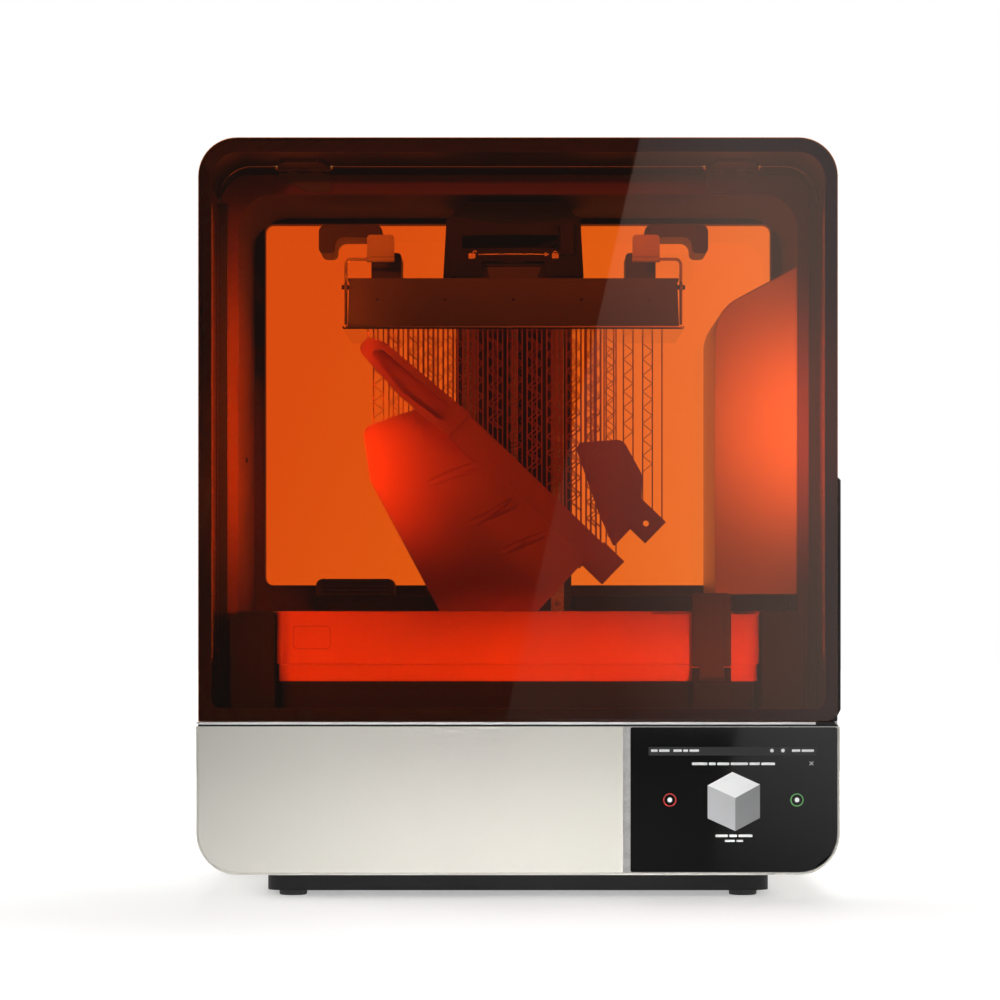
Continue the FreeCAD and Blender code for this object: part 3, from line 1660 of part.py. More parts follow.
def latch_lever():
    left = latch_left
    right = latch_right
    y = latch_y()
    low = latch_pivot_z + latch_skirt
    face = [
        (left, low, small_round), (right, low, small_round),
        (right, latch_high, latch_corner), (left, latch_high, latch_corner),
    ]
    body = prism(face, "xz", y[0], y[1])
    knuckle = (left + latch_ear + knuckle_gap, right - latch_ear - knuckle_gap)
    barrel = rod(latch_ear_radius, latch_pivot(knuckle[0]), latch_pivot(knuckle[1]))
    neck = box(knuckle, y, (latch_pivot_z, low + over))
    pad = [
        (knuckle[0], low + soft_round, soft_round), (knuckle[1], low + soft_round, soft_round),
        (knuckle[1], latch_high + over, 0), (knuckle[0], latch_high + over, 0),
    ]
    hook_low = tank_high - tank_step + latch_seat
    hook = box((left, right), (y[1] - over, tank_front + latch_hook), (hook_low, hook_low + latch_hook_thick))
    lever = union([body, barrel, neck, hook]).cut(prism(pad, "xz", y[0] - over, y[0] + latch_pad_deep))
    return lever.cut(rod(latch_pin + running, latch_pivot(left), latch_pivot(right)))


def cartridge_shroud():
    shell = prism(shroud_outline(0), "xz", split_y, liner_back)
    hollow = shroud_outline(shroud_wall)
    right = liner_half + 1
    hollow[1] = (right, hollow[1][1], 0)
    slope = (shroud_ridge - shroud_eave) / (liner_half - shroud_left)
    hollow[2] = (right, hollow[2][1] + slope * (shroud_wall + over), 0)
    return shell.cut(prism(hollow, "xz", split_y + shroud_wall, liner_back + over))


def resin_cartridge():
    start = split_y + shroud_wall + cartridge_front_gap
    end = back - cartridge_back_inset
    body = prism(cartridge_outline(0), "xz", start, end)
    w = cartridge_wall
    body = body.cut(prism(cartridge_outline(-w), "xz", start + w, end - cartridge_grip_deep - w))
    corners = cartridge_outline(0)
    middle = (corners[0][0] + corners[1][0]) / 2
    outlet = vec(middle, (spout_front + ledge_front) / 2, corners[0][1] - over)
    body = body.cut(rod(cartridge_outlet, outlet, outlet + vec(0, 0, w + 2)))
    grip_z = shroud_low + cartridge_grip_rise
    z = (grip_z, grip_z + cartridge_grip_high)
    recess = rectangle(span(middle, cartridge_grip_wide), z, soft_round)
    body = body.cut(prism(recess, "xz", end - cartridge_grip_deep, end + over))
    bar = box(span(middle, cartridge_bar_wide), (end - cartridge_bar_deep, end), (z[0] - over, z[1] + over))
    return body.fuse(bar).removeSplitter()


def resin_spout():
    x = (spout_left, spout_left + spout_width)
    z = (shroud_low - spout_high, shroud_low)
    block = prism(rectangle(x, z, small_round), "xz", spout_front, ledge_front)
    tip_x = x[0] - spout_reach
    mid_y = (spout_front + ledge_front) / 2
    tip_z = (z[0] - small_round, z[1] - small_round)
    arm = box((tip_x, x[0] + over), span(mid_y, 2 * spout_nozzle), (z[0] + small_round, tip_z[1]))
    tip = rod(spout_nozzle, vec(tip_x, mid_y, tip_z[0]), vec(tip_x, mid_y, tip_z[1]))
    bore_top = vec(tip_x, mid_y, (tip_z[0] + tip_z[1]) / 2)
    bore = rod(spout_nozzle / 2, vec(tip_x, mid_y, tip_z[0] - over), bore_top)
    return union([block, arm, tip]).cut(bore)


def rear_ledge():
    covers = []
    half = tower_width / 2 + ledge_tower_gap
    w = ledge_wall
    for x in ((ledge_left, column_x - half), (column_x + half, ledge_right)):
        cover = box(x, (ledge_front, liner_back), (deck_top, shroud_low))
        hollow_y = (ledge_front + w, liner_back - w)
        hollow = box((x[0] + w, x[1] - w), hollow_y, (deck_top - over, shroud_low - w))
        covers.append(cover.cut(hollow))
    return Part.makeCompound(covers)


def chamber_heater():
    x = (ledge_left + heater_inset, ledge_left + heater_inset + heater_width)
    y = (ledge_front + heater_setback, ledge_front + heater_setback + heater_deep)
    top = shroud_low + heater_high
    corners = [
        (x[0], shroud_low, 0), (x[1], shroud_low, 0),
        (x[1], top, heater_corner), (x[0], top, heater_corner),
    ]
    body = prism(corners, "xz", y[0], y[1])
    pitch = heater_high / (heater_louvres + 1)
    slots = []
    for i in range(heater_louvres):
        z = shroud_low + (i + 1) * pitch
        slot_x = (x[0] + heater_corner, x[1] - heater_corner)
        slots.append(box(slot_x, (y[0] - over, y[0] + heater_louvre_deep), span(z, pitch / 2)))
    return body.cut(Part.makeCompound(slots))


pieces = {
    "base_shell": base_shell(),
    "front_fascia": front_fascia(),
    "screen_bezel": screen_bezel(),
    "touchscreen_glass": touchscreen_glass(),
    "display_panel": display_panel(),
    "plinth": plinth(),
    "levelling_feet": levelling_feet(),
    "deck_plate": deck_plate(),
    "base_top_trim": base_top_trim(),
    "hood_catch": hood_catch(),
    "light_box": light_box(),
    "masking_lcd": masking_lcd(),
    "led_array": led_array(),
    "power_supply": power_supply(),
    "main_board": main_board(),
    "rear_panel": rear_panel(),
    "rear_connectors": rear_connectors(),
    "power_switch": power_switch(),
    "fan_frame": fan_frame(),
    "fan_rotor": fan_rotor(),
    "rear_shell": rear_shell(),
    "chamber_liner": chamber_liner(),
    "rear_frame": rear_frame(),
    "rear_window": rear_window(),
    "hood_frame": hood_frame(),
    "hood_side_windows": hood_side_windows(),
    "hood_front_panel": hood_front_panel(),
    "hood_seal": hood_seal(),
    "hood_grip": hood_grip(),
    "hinge_leaves": hinge_leaves(),
    "hinge_brackets": hinge_brackets(),
    "hinge_pins": hinge_pins(),
    "z_tower": z_tower(),
    "z_rails": z_rails(),
    "top_bearing": top_bearing(),
    "lead_screw": lead_screw(),
    "z_motor": z_motor(),
    "carriage_plate": carriage_plate(),
    "linear_blocks": linear_blocks(),
    "lead_nut": lead_nut(),
    "carriage_arm": carriage_arm(),
    "carriage_housing": carriage_housing(),
    "lock_lever": lock_lever(),
    "platform_body": platform_body(),
    "build_plate": build_plate(),
    "printed_scoop": printed_scoop(),
    "carry_handles": carry_handles(),
    "release_handle_left": release_handle(-1),
    "release_handle_right": release_handle(1),
    "tank_frame": tank_frame(),
    "film_frame": film_frame(),
    "tank_film": tank_film(),
    "tank_guides": tank_guides(),
    "mixer": mixer(),
    "latch_lever": latch_lever(),
    "cartridge_shroud": cartridge_shroud(),
    "resin_cartridge": resin_cartridge(),
    "resin_spout": resin_spout(),
    "rear_ledge": rear_ledge(),
    "chamber_heater": chamber_heater(),
}

os.makedirs("parts", exist_ok=True)
for name, shape in pieces.items():
    shape.exportStep("parts/" + name + ".step")
print(len(pieces), "pieces")
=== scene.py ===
import json
import math
import bmesh
import bpy
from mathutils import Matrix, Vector
from mathutils.bvhtree import BVHTree


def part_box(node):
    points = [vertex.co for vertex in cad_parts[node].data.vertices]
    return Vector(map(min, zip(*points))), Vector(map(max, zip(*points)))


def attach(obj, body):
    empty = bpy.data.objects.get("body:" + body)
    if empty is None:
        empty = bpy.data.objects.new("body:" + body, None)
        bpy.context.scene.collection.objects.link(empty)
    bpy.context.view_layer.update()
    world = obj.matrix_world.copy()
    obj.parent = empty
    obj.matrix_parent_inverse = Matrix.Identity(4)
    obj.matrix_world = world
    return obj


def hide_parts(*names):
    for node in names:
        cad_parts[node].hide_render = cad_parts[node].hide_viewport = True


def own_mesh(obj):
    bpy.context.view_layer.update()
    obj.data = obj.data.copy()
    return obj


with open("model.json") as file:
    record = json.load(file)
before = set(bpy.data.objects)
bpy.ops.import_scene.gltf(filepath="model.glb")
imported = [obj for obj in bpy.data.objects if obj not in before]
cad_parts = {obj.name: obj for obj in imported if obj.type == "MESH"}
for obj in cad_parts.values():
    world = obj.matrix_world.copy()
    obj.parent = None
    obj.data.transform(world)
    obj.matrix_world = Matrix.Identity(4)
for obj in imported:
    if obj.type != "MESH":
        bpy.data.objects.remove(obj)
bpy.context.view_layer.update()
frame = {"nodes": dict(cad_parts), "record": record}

cadNodes = frame["nodes"]
slotOf = {row["node"]: row["material_slot"] for row in frame["record"]["subparts"]}
bodies = frame["record"]["behaviour"]["bodies"]
bodyOf = {node: body for body, members in bodies.items() for node in members}
mm = 0.001
mergeGap = 0.000005  # vertices closer than this are one
facing = 0.9  # a face looks along an axis when its normal holds this much of it
seedSize = 0.01  # any size does: the vertices are placed afterwards
print("frame loaded with", len(cadNodes), "nodes")


# small tools for working as in the viewport
def dropPick():
    if bpy.context.mode != "OBJECT":
        bpy.ops.object.mode_set(mode="OBJECT")
    bpy.ops.object.select_all(action="DESELECT")


def pickAll(pieces):
    dropPick()
    for piece in pieces:
        piece.select_set(True)
    bpy.context.view_layer.objects.active = pieces[0]


def pickOnly(piece):
    pickAll([piece])


def openEdit(piece, kind, everything=False):
    pickOnly(piece)
    bpy.ops.object.mode_set(mode="EDIT")
    bpy.ops.mesh.select_mode(type=kind)
    bpy.ops.mesh.select_all(action="SELECT" if everything else "DESELECT")


def closeEdit():
    bpy.ops.object.mode_set(mode="OBJECT")


def openWhere(piece, kind, test):  # with only the faces or edges that pass the test picked
    openEdit(piece, kind)
    mesh = bmesh.from_edit_mesh(piece.data)
    for item in mesh.faces if kind == "FACE" else mesh.edges:
        item.select_set(bool(test(item)))
    mesh.select_flush_mode()
    bmesh.update_edit_mesh(piece.data)


def settle(pieces):  # puts each place, turn and scale into the mesh
    pickAll(pieces)
    bpy.ops.object.transform_apply(location=True, rotation=True, scale=True)


def tidyMesh(piece):
    openEdit(piece, "VERT", True)
    bpy.ops.mesh.remove_doubles(threshold=mergeGap)
    bpy.ops.mesh.normals_make_consistent(inside=False)
    closeEdit()


def modify(piece, kind, **settings):
    pickOnly(piece)
    step = piece.modifiers.new(kind.lower(), kind)
    for key, value in settings.items():
        setattr(step, key, value)
    bpy.ops.object.modifier_apply(modifier=step.name)


def joinAll(pieces):
    pickAll(pieces)
    if len(pieces) > 1:
        bpy.ops.object.join()
    return pieces[0]


def copyOf(master):  # a copy with its own mesh
    piece = master.copy()
    piece.data = master.data.copy()
    piece.parent = None
    for key in list(piece.keys()):
        del piece[key]
    bpy.context.scene.collection.objects.link(piece)
    return piece


def layBetween(piece, start, end, radius, ownLength):  # turns and stretches a piece between two points
    along = end - start
    piece.location = (start + end) / 2
    piece.rotation_euler = along.to_track_quat("Z", "Y").to_euler()
    piece.scale = (radius, radius, along.length / ownLength)


def skinOf(mesh):  # finds where a ray meets the mesh
    points = [vertex.co for vertex in mesh.vertices]
    return BVHTree.FromPolygons(points, [face.vertices for face in mesh.polygons])


def finishPiece(piece, name, finish, body, angle=30):
    piece.name = name
    piece.data.name = name
    piece.data.materials.clear()
    piece.data.materials.append(finish)
    pickOnly(piece)
    bpy.ops.object.shade_smooth_by_angle(angle=math.radians(angle))
    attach(piece, body)
    return piece


def added():
    return bpy.context.view_layer.objects.active


# finishes
noiseSpan = (0.3, 0.7)  # nearly all of the noise lies in here
fullSpan = (0.0, 1.0)
cloudScale = 9.0
sheetCloudScale = 5.0
fineDetail = 3.0
bumpDepth = 0.0002


def newTree(name):
    finish = bpy.data.materials.new(name)
    finish.use_nodes = True
    tree = finish.node_tree
    return finish, tree, tree.nodes["Principled BSDF"]


def grainOf(tree, scale, stretch=(1, 1, 1), detail=4.0):
    place = tree.nodes.new("ShaderNodeTexCoord")
    turn = tree.nodes.new("ShaderNodeMapping")
    turn.inputs["Scale"].default_value = stretch
    noise = tree.nodes.new("ShaderNodeTexNoise")
    noise.inputs["Scale"].default_value = scale
    noise.inputs["Detail"].default_value = detail
    tree.links.new(place.outputs["Object"], turn.inputs["Vector"])
    tree.links.new(turn.outputs["Vector"], noise.inputs["Vector"])
    return noise.outputs["Fac"]


def slopeOf(tree, start, end):  # 0 at one point of the piece and 1 at the other
    run = Vector(end) - Vector(start)
    run /= run.length_squared
    place = tree.nodes.new("ShaderNodeTexCoord")
    along = tree.nodes.new("ShaderNodeVectorMath")
    along.operation = "DOT_PRODUCT"
    along.inputs[1].default_value = run
    tree.links.new(place.outputs["Object"], along.inputs[0])
    ranger = tree.nodes.new("ShaderNodeMapRange")
    ranger.inputs["From Min"].default_value = run.dot(Vector(start))
    ranger.inputs["From Max"].default_value = run.dot(Vector(start)) + 1.0
    tree.links.new(along.outputs["Value"], ranger.inputs["Value"])
    return ranger.outputs["Result"]


def toneRamp(tree, source, low, high, span=noiseSpan):
    ramp = tree.nodes.new("ShaderNodeValToRGB")
    for stop, position, tone in zip(ramp.color_ramp.elements, span, (low, high)):
        stop.position = position
        stop.color = (*tone, 1)
    tree.links.new(source, ramp.inputs["Fac"])
    return ramp.outputs["Color"]


def spread(tree, source, low, high):
    ranger = tree.nodes.new("ShaderNodeMapRange")
    ranger.inputs["From Min"].default_value, ranger.inputs["From Max"].default_value = noiseSpan
    ranger.inputs["To Min"].default_value = low
    ranger.inputs["To Max"].default_value = high
    tree.links.new(source, ranger.inputs["Value"])
    return ranger.outputs["Result"]


def toneOf(tree, look, scale, stretch=(1, 1, 1)):  # an even slope between two points, or else soft clouds
    if "slope" in look:
        return toneRamp(tree, slopeOf(tree, *look["slope"]), look["dark"], look["light"], fullSpan)
    return toneRamp(tree, grainOf(tree, scale, stretch), look["dark"], look["light"])


def solidFinish(name, look):
    finish, tree, shader = newTree(name)
    stretch = look.get("stretch", (1, 1, 1))
    fine = grainOf(tree, look["grain"], stretch, fineDetail)
    tree.links.new(toneOf(tree, look, cloudScale, stretch), shader.inputs["Base Color"])
    tree.links.new(spread(tree, fine, *look["rough"]), shader.inputs["Roughness"])
    shader.inputs["Metallic"].default_value = look.get("metal", 0.0)
    shader.inputs["Specular IOR Level"].default_value = look.get("specular", 0.5)
    bump = tree.nodes.new("ShaderNodeBump")
    bump.inputs["Strength"].default_value = look.get("bump", 0.1)
    bump.inputs["Distance"].default_value = bumpDepth
    tree.links.new(fine, bump.inputs["Height"])
    tree.links.new(bump.outputs["Normal"], shader.inputs["Normal"])
    return finish


def clearFinish(name, look):  # tinted sheet: each face takes half of the tint
    finish, tree, shader = newTree(name)
    tree.nodes.remove(shader)
    tint = tree.nodes.new("ShaderNodeBsdfTransparent")
    tree.links.new(toneOf(tree, look, sheetCloudScale), tint.inputs["Color"])
    gloss = tree.nodes.new("ShaderNodeBsdfGlossy")
    gloss.inputs["Color"].default_value = (1, 1, 1, 1)
    gloss.inputs["Roughness"].default_value = look["rough"]
    side = tree.nodes.new("ShaderNodeNewGeometry")
    index = tree.nodes.new("ShaderNodeMapRange")
    index.inputs["To Min"].default_value = look["index"]
    index.inputs["To Max"].default_value = 1 / look["index"]
    tree.links.new(side.outputs["Backfacing"], index.inputs["Value"])
    edge = tree.nodes.new("ShaderNodeFresnel")
    tree.links.new(index.outputs["Result"], edge.inputs["IOR"])
    mix = tree.nodes.new("ShaderNodeMixShader")
    tree.links.new(edge.outputs["Fac"], mix.inputs["Fac"])
    tree.links.new(tint.outputs["BSDF"], mix.inputs[1])
    tree.links.new(gloss.outputs["BSDF"], mix.inputs[2])
    tree.links.new(mix.outputs["Shader"], tree.nodes["Material Output"].inputs["Surface"])
    return finish


def glowFinish(name, look):  # lit marks of the display
    finish = solidFinish(name, look)
    shader = finish.node_tree.nodes["Principled BSDF"]
    shader.inputs["Emission Color"].default_value = (*look["light"], 1)
    shader.inputs["Emission Strength"].default_value = look["glow"]
    return finish


looks = {
    "housing": {"dark": (0.73, 0.70, 0.635), "light": (0.75, 0.72, 0.655), "grain": 1400.0,
                "rough": (0.36, 0.44), "metal": 0.4, "bump": 0.03},
    "dark_housing": {"dark": (0.020, 0.018, 0.018), "light": (0.026, 0.024, 0.024), "grain": 1600.0,
                     "rough": (0.42, 0.55), "specular": 0.25, "bump": 0.04},
    "tank_amber": {"dark": (0.80, 0.22, 0.06), "light": (0.88, 0.27, 0.085), "grain": 900.0,
                   "rough": (0.25, 0.36), "bump": 0.04},
    "black": {"dark": (0.017, 0.015, 0.015), "light": (0.022, 0.020, 0.020), "grain": 1500.0,
              "rough": (0.42, 0.56), "specular": 0.2, "bump": 0.04},
    "dark_metal": {"dark": (0.055, 0.055, 0.055), "light": (0.085, 0.085, 0.085), "grain": 1200.0,
                   "rough": (0.4, 0.55), "metal": 0.3, "bump": 0.14},
    "screen": {"dark": (0.0035, 0.0035, 0.0035), "light": (0.005, 0.005, 0.005), "grain": 60.0,
               "rough": (0.03, 0.05), "bump": 0.0},
    "bright_metal": {"dark": (0.66, 0.65, 0.63), "light": (0.78, 0.77, 0.75), "grain": 700.0,
                     "rough": (0.24, 0.36), "metal": 0.9, "bump": 0.06, "stretch": (1, 1, 12)},
    "anodised": {"dark": (0.05, 0.05, 0.052), "light": (0.09, 0.09, 0.092), "grain": 1000.0,
                 "rough": (0.36, 0.5), "metal": 0.6, "bump": 0.08},
    "steel": {"dark": (0.50, 0.50, 0.50), "light": (0.66, 0.66, 0.65), "grain": 600.0,
              "rough": (0.2, 0.34), "metal": 1.0, "bump": 0.02, "stretch": (1, 1, 10)},
    "rubber": {"dark": (0.016, 0.016, 0.016), "light": (0.028, 0.028, 0.028), "grain": 700.0,
               "rough": (0.7, 0.85), "bump": 0.3},
    "board": {"dark": (0.012, 0.11, 0.045), "light": (0.02, 0.17, 0.07), "grain": 260.0,
              "rough": (0.35, 0.5), "bump": 0.2},
    "brass": {"dark": (0.60, 0.42, 0.16), "light": (0.74, 0.54, 0.22), "grain": 500.0,
              "rough": (0.22, 0.34), "metal": 1.0, "bump": 0.05},
    "print_resin": {"dark": (0.58, 0.165, 0.078), "light": (0.65, 0.19, 0.095), "grain": 420.0,
                    "rough": (0.3, 0.42), "bump": 0.12},
    # painted light and shade on the chamber liner: darker towards the back and top, lighter towards the front
    # and lower down, for the glow on the front flange and the shade in the recess
    "linerPaintedShade": {"dark": (0.028, 0.020, 0.018), "light": (0.150, 0.068, 0.058), "grain": 1400.0,
                   "rough": (0.55, 0.65), "specular": 0.03, "bump": 0.03,
                   "slope": ((0, 0.18, 0.75), (0, -0.079, 0.50))},
    "warmBlack": {"dark": (0.060, 0.052, 0.050), "light": (0.072, 0.063, 0.060), "grain": 1500.0,
                  "rough": (0.36, 0.48), "specular": 0.35, "bump": 0.04},
    "platformGrey": {"dark": (0.105, 0.095, 0.092), "light": (0.125, 0.114, 0.110), "grain": 900.0,
                     "rough": (0.42, 0.55), "metal": 0.2, "bump": 0.05},
    "plateSteel": {"dark": (0.74, 0.74, 0.73), "light": (0.80, 0.80, 0.79), "grain": 500.0,
                   "rough": (0.13, 0.2), "metal": 1.0, "bump": 0.01},
    "satinSteel": {"dark": (0.50, 0.49, 0.48), "light": (0.56, 0.55, 0.54), "grain": 900.0,
                   "rough": (0.4, 0.5), "metal": 0.3, "bump": 0.02},
    "darkScrew": {"dark": (0.030, 0.029, 0.029), "light": (0.042, 0.041, 0.041), "grain": 900.0,
                  "rough": (0.35, 0.5), "metal": 0.4, "bump": 0.04},
    "screwSteel": {"dark": (0.30, 0.30, 0.30), "light": (0.44, 0.44, 0.43), "grain": 900.0,
                   "rough": (0.25, 0.4), "metal": 0.9, "bump": 0.08},
    "plinthBlack": {"dark": (0.010, 0.010, 0.010), "light": (0.013, 0.013, 0.013), "grain": 1500.0,
                    "rough": (0.5, 0.65), "specular": 0.2, "bump": 0.05},
    "paintedWhite": {"dark": (0.78, 0.77, 0.75), "light": (0.86, 0.85, 0.83), "grain": 800.0,
                     "rough": (0.4, 0.5), "bump": 0.05},
    "tankLine": {"dark": (0.30, 0.06, 0.02), "light": (0.38, 0.08, 0.03), "grain": 800.0,
                 "rough": (0.4, 0.5), "bump": 0.05},
}
clearLooks = {
    "amber": {"dark": (0.947, 0.530, 0.222), "light": (0.951, 0.538, 0.228), "rough": 0.012, "index": 1.43},
    # painted light on the rear window: its tint is darker at the top left and clearer at the bottom right,
    # for the uneven backlight through it
    "rearAmberPaintedLight": {"dark": (0.925, 0.520, 0.215), "light": (0.985, 0.740, 0.310), "rough": 0.012,
                  "index": 1.43, "slope": ((-0.24, 0.2, 0.60), (0.24, 0.2, 0.40))},
    "film": {"dark": (0.93, 0.93, 0.92), "light": (0.96, 0.96, 0.95), "rough": 0.05, "index": 1.35},
}
ownFinish = {  # nodes that look unlike the rest of their slot
    "chamber_liner": "linerPaintedShade", "rear_window": "rearAmberPaintedLight", "build_plate": "plateSteel",
    "hood_grip": "black", "deck_plate": "black", "base_top_trim": "paintedWhite",
    "platform_body": "platformGrey", "plinth": "plinthBlack",
    "release_handle_left": "satinSteel", "release_handle_right": "satinSteel",
    "carry_handles": "warmBlack", "chamber_heater": "warmBlack", "latch_lever": "warmBlack",
}
finishes = {name: solidFinish(name, look) for name, look in looks.items()}
finishes.update({name: clearFinish(name, look) for name, look in clearLooks.items()})


def finishOf(nodeName):
    return finishes[ownFinish.get(nodeName, slotOf[nodeName])]


for nodeName, node in cadNodes.items():
    node.data.materials.clear()
    node.data.materials.append(finishOf(nodeName))
print("finishes on", len(cadNodes), "nodes")


# marks of the display, drawn on the glass
display = {
    "plane": -0.26375, "thick": 0.00012, "wordGap": 1.5,
    "band": (134.6, 147.3, 308.0, 156.1), "bandRound": 0.1,
    "status": [((137.1, 151.1, 156.2, 153.6), (5, 8)), ((160.2, 151.1, 186.6, 153.6), (7, 4, 8)),
               ((282.4, 151.1, 305.1, 153.6), (6, 9))],
    "dots": [(261.8, 152.4), (273.1, 152.4)], "dotSize": 1.9,
    "title": ((179.3, 137.4, 264.9, 140.1), (9, 4, 7, 10, 6, 8)),
    "cross": (302.5, 139.2), "crossSize": 5.5, "crossHalf": 0.35,
    "rings": [(156.5, 101.5), (287.6, 101.5)], "ringSize": 6.7, "ringWide": 0.9, "coreShare": 0.36,
    "captions": [((203.5, 63.2, 241.7, 65.9), (8, 5, 9)), ((213.2, 58.2, 232.0, 60.4), (6, 4))],
    "blockTop": [(221, 130.3), (249.4, 117.5), (224, 103.5), (195.5, 116.5)],
    "blockLeft": [(195.5, 116.5), (224, 103.5), (224, 69.5), (195.5, 82.5)],
    "blockRight": [(224, 103.5), (249.4, 117.5), (249.4, 83.0), (224, 69.5)],
}
markLooks = {
    "displayWhite": {"dark": (0.70, 0.70, 0.70), "light": (0.76, 0.76, 0.76), "glow": 0.2},
    "displaySoft": {"dark": (0.40, 0.40, 0.41), "light": (0.45, 0.45, 0.46), "glow": 0.15},
    "displayShade": {"dark": (0.19, 0.19, 0.195), "light": (0.22, 0.22, 0.225), "glow": 0.1},
    "displayBand": {"dark": (0.014, 0.014, 0.014), "light": (0.018, 0.018, 0.018), "glow": 0.1},
    "displayRed": {"dark": (0.55, 0.03, 0.03), "light": (0.68, 0.045, 0.04), "glow": 0.2},
    "displayGreen": {"dark": (0.10, 0.36, 0.10), "light": (0.15, 0.46, 0.13), "glow": 0.2},
}
for look in markLooks.values():
    look.update({"grain": 300.0, "rough": (0.3, 0.4)})
finishes.update({name: glowFinish(name, look) for name, look in markLooks.items()})


def flatOutline(points, level, thick):  # a filled outline in the XZ plane, drawn forward by its thickness
    dropPick()
    bpy.ops.mesh.primitive_circle_add(vertices=len(points), radius=seedSize, fill_type="NGON",
                                      rotation=(math.pi / 2, 0, 0))
    plate = added()
    settle([plate])
    for vertex, (x, z) in zip(plate.data.vertices, points):
        vertex.co = (x * mm, level, z * mm)
    openEdit(plate, "FACE", True)
    bpy.ops.mesh.extrude_region_move(TRANSFORM_OT_translate={"value": (0, -thick, 0)})
    closeEdit()
    tidyMesh(plate)
    return plate


def bar(x0, z0, x1, z1, level, thick, rounded=0.3):
    plate = flatOutline([(x0, z0), (x1, z0), (x1, z1), (x0, z1)], level, thick)
    openWhere(plate, "EDGE", lambda edge: abs(edge.verts[0].co.y - edge.verts[1].co.y) > thick / 2)
    bpy.ops.mesh.bevel(offset=rounded * mm * min(x1 - x0, z1 - z0), segments=3)
    closeEdit()
    return plate


def circlePoints(x, z, radius, sides):
    turns = [i * math.tau / sides for i in range(sides)]
    return [(x + radius * math.cos(turn), z + radius * math.sin(turn)) for turn in turns]


def hollow(plate, wide):  # leaves only a border of the outline
    openWhere(plate, "FACE", lambda face: abs(face.normal.y) > facing)
    bpy.ops.mesh.inset(thickness=wide * mm)
    bpy.ops.mesh.delete(type="FACE")
    closeEdit()
    openWhere(plate, "EDGE", lambda edge: edge.is_boundary)
    bpy.ops.mesh.bridge_edge_loops()
    closeEdit()
    tidyMesh(plate)
    return plate


def ring(x, z, radius, wide, level, thick, sides=40):
    return hollow(flatOutline(circlePoints(x, z, radius, sides), level, thick), wide)


def disc(x, z, radius, level, thick, sides=20):
    return flatOutline(circlePoints(x, z, radius, sides), level, thick)


def wordBars(box, parts, level, thick):  # a line of writing as plain bars
    x0, z0, x1, z1 = box
    gap = display["wordGap"]
    share = (x1 - x0 - gap * (len(parts) - 1)) / sum(parts)
    made = []
    for part in parts:
        made.append(bar(x0, z0, x0 + part * share, z1, level, thick))
        x0 += part * share + gap
    return made


def showMarks(piece, name, tone):
    finishPiece(piece, "display_" + name, finishes["display" + tone], "chassis")


def makeDisplay():
    d = display
    plane, thick = d["plane"], d["thick"]
    top = plane - thick
    showMarks(bar(*d["band"], plane, thick, d["bandRound"]), "band", "Band")
    white = [disc(x, z, d["dotSize"], top, thick) for x, z in d["dots"]]
    for box, parts in d["status"]:
        white += wordBars(box, parts, top, thick)
    for box, parts in [d["title"]] + d["captions"]:
        white += wordBars(box, parts, plane, thick)
    white += [disc(x, z, d["ringSize"] * d["coreShare"], plane, thick) for x, z in d["rings"]]
    white.append(flatOutline(d["blockTop"], plane, thick))
    half = d["crossSize"] / 2
    for turn in (-45, 45):
        arm = bar(-half, -d["crossHalf"], half, d["crossHalf"], plane, thick)
        openEdit(arm, "VERT", True)
        bpy.ops.transform.rotate(value=math.radians(turn), orient_axis="Y", center_override=(0, 0, 0))
        bpy.ops.transform.translate(value=(d["cross"][0] * mm, 0, d["cross"][1] * mm))
        closeEdit()
        white.append(arm)
    showMarks(joinAll(white), "marks", "White")
    showMarks(flatOutline(d["blockLeft"], plane, thick), "soft", "Soft")
    showMarks(flatOutline(d["blockRight"], plane, thick), "shade", "Shade")
    for (x, z), tone in zip(d["rings"], ("Red", "Green")):
        showMarks(ring(x, z, d["ringSize"], d["ringWide"], plane, thick), tone.lower(), tone)


makeDisplay()
print("display drawn")

# edges of the main CAD pieces, softened on merged copies that stand for the nodes
softEdges = {
    "base_shell": 0.4, "screen_bezel": 0.3, "base_top_trim": 0.3, "plinth": 0.8, "rear_panel": 0.6,
    "hood_frame": 1.2, "hood_front_panel": 0.8, "hood_grip": 0.4, "hood_catch": 0.3,
    "hood_side_windows": 0.5, "rear_shell": 1.0, "rear_frame": 0.8, "rear_window": 0.6,
    "chamber_liner": 0.8, "chamber_heater": 1.0, "carriage_housing": 1.4, "carriage_arm": 0.6,
    "lock_lever": 0.8, "platform_body": 0.5, "carry_handles": 1.6, "latch_lever": 0.8,
    "tank_frame": 0.9, "film_frame": 0.7, "tank_guides": 0.8, "mixer": 0.4,
    "cartridge_shroud": 1.4, "resin_cartridge": 1.4, "resin_spout": 0.8, "rear_ledge": 0.9,
    "hinge_leaves": 0.4, "hinge_brackets": 0.4, "linear_blocks": 0.6, "carriage_plate": 0.6,
    "top_bearing": 0.6, "z_motor": 0.8, "printed_scoop": 0.25,
}
softAngles = {"flat": 0.5, "corner": 40, "smooth": 32}  # what is merged, rounded and shaded, in degrees


# shallow dents in the blade of the printed scoop, each deeper at its second end
dents = {
    "lines": [((-82.7, 442.1), (-44.6, 449.7)), ((-52.2, 386.5), (-6.5, 419.2)),
              ((-19.6, 359.3), (9.8, 373.5))],
    "wide": 4.0, "raised": 3.4, "sunk": 0.4, "from": -0.3,
}


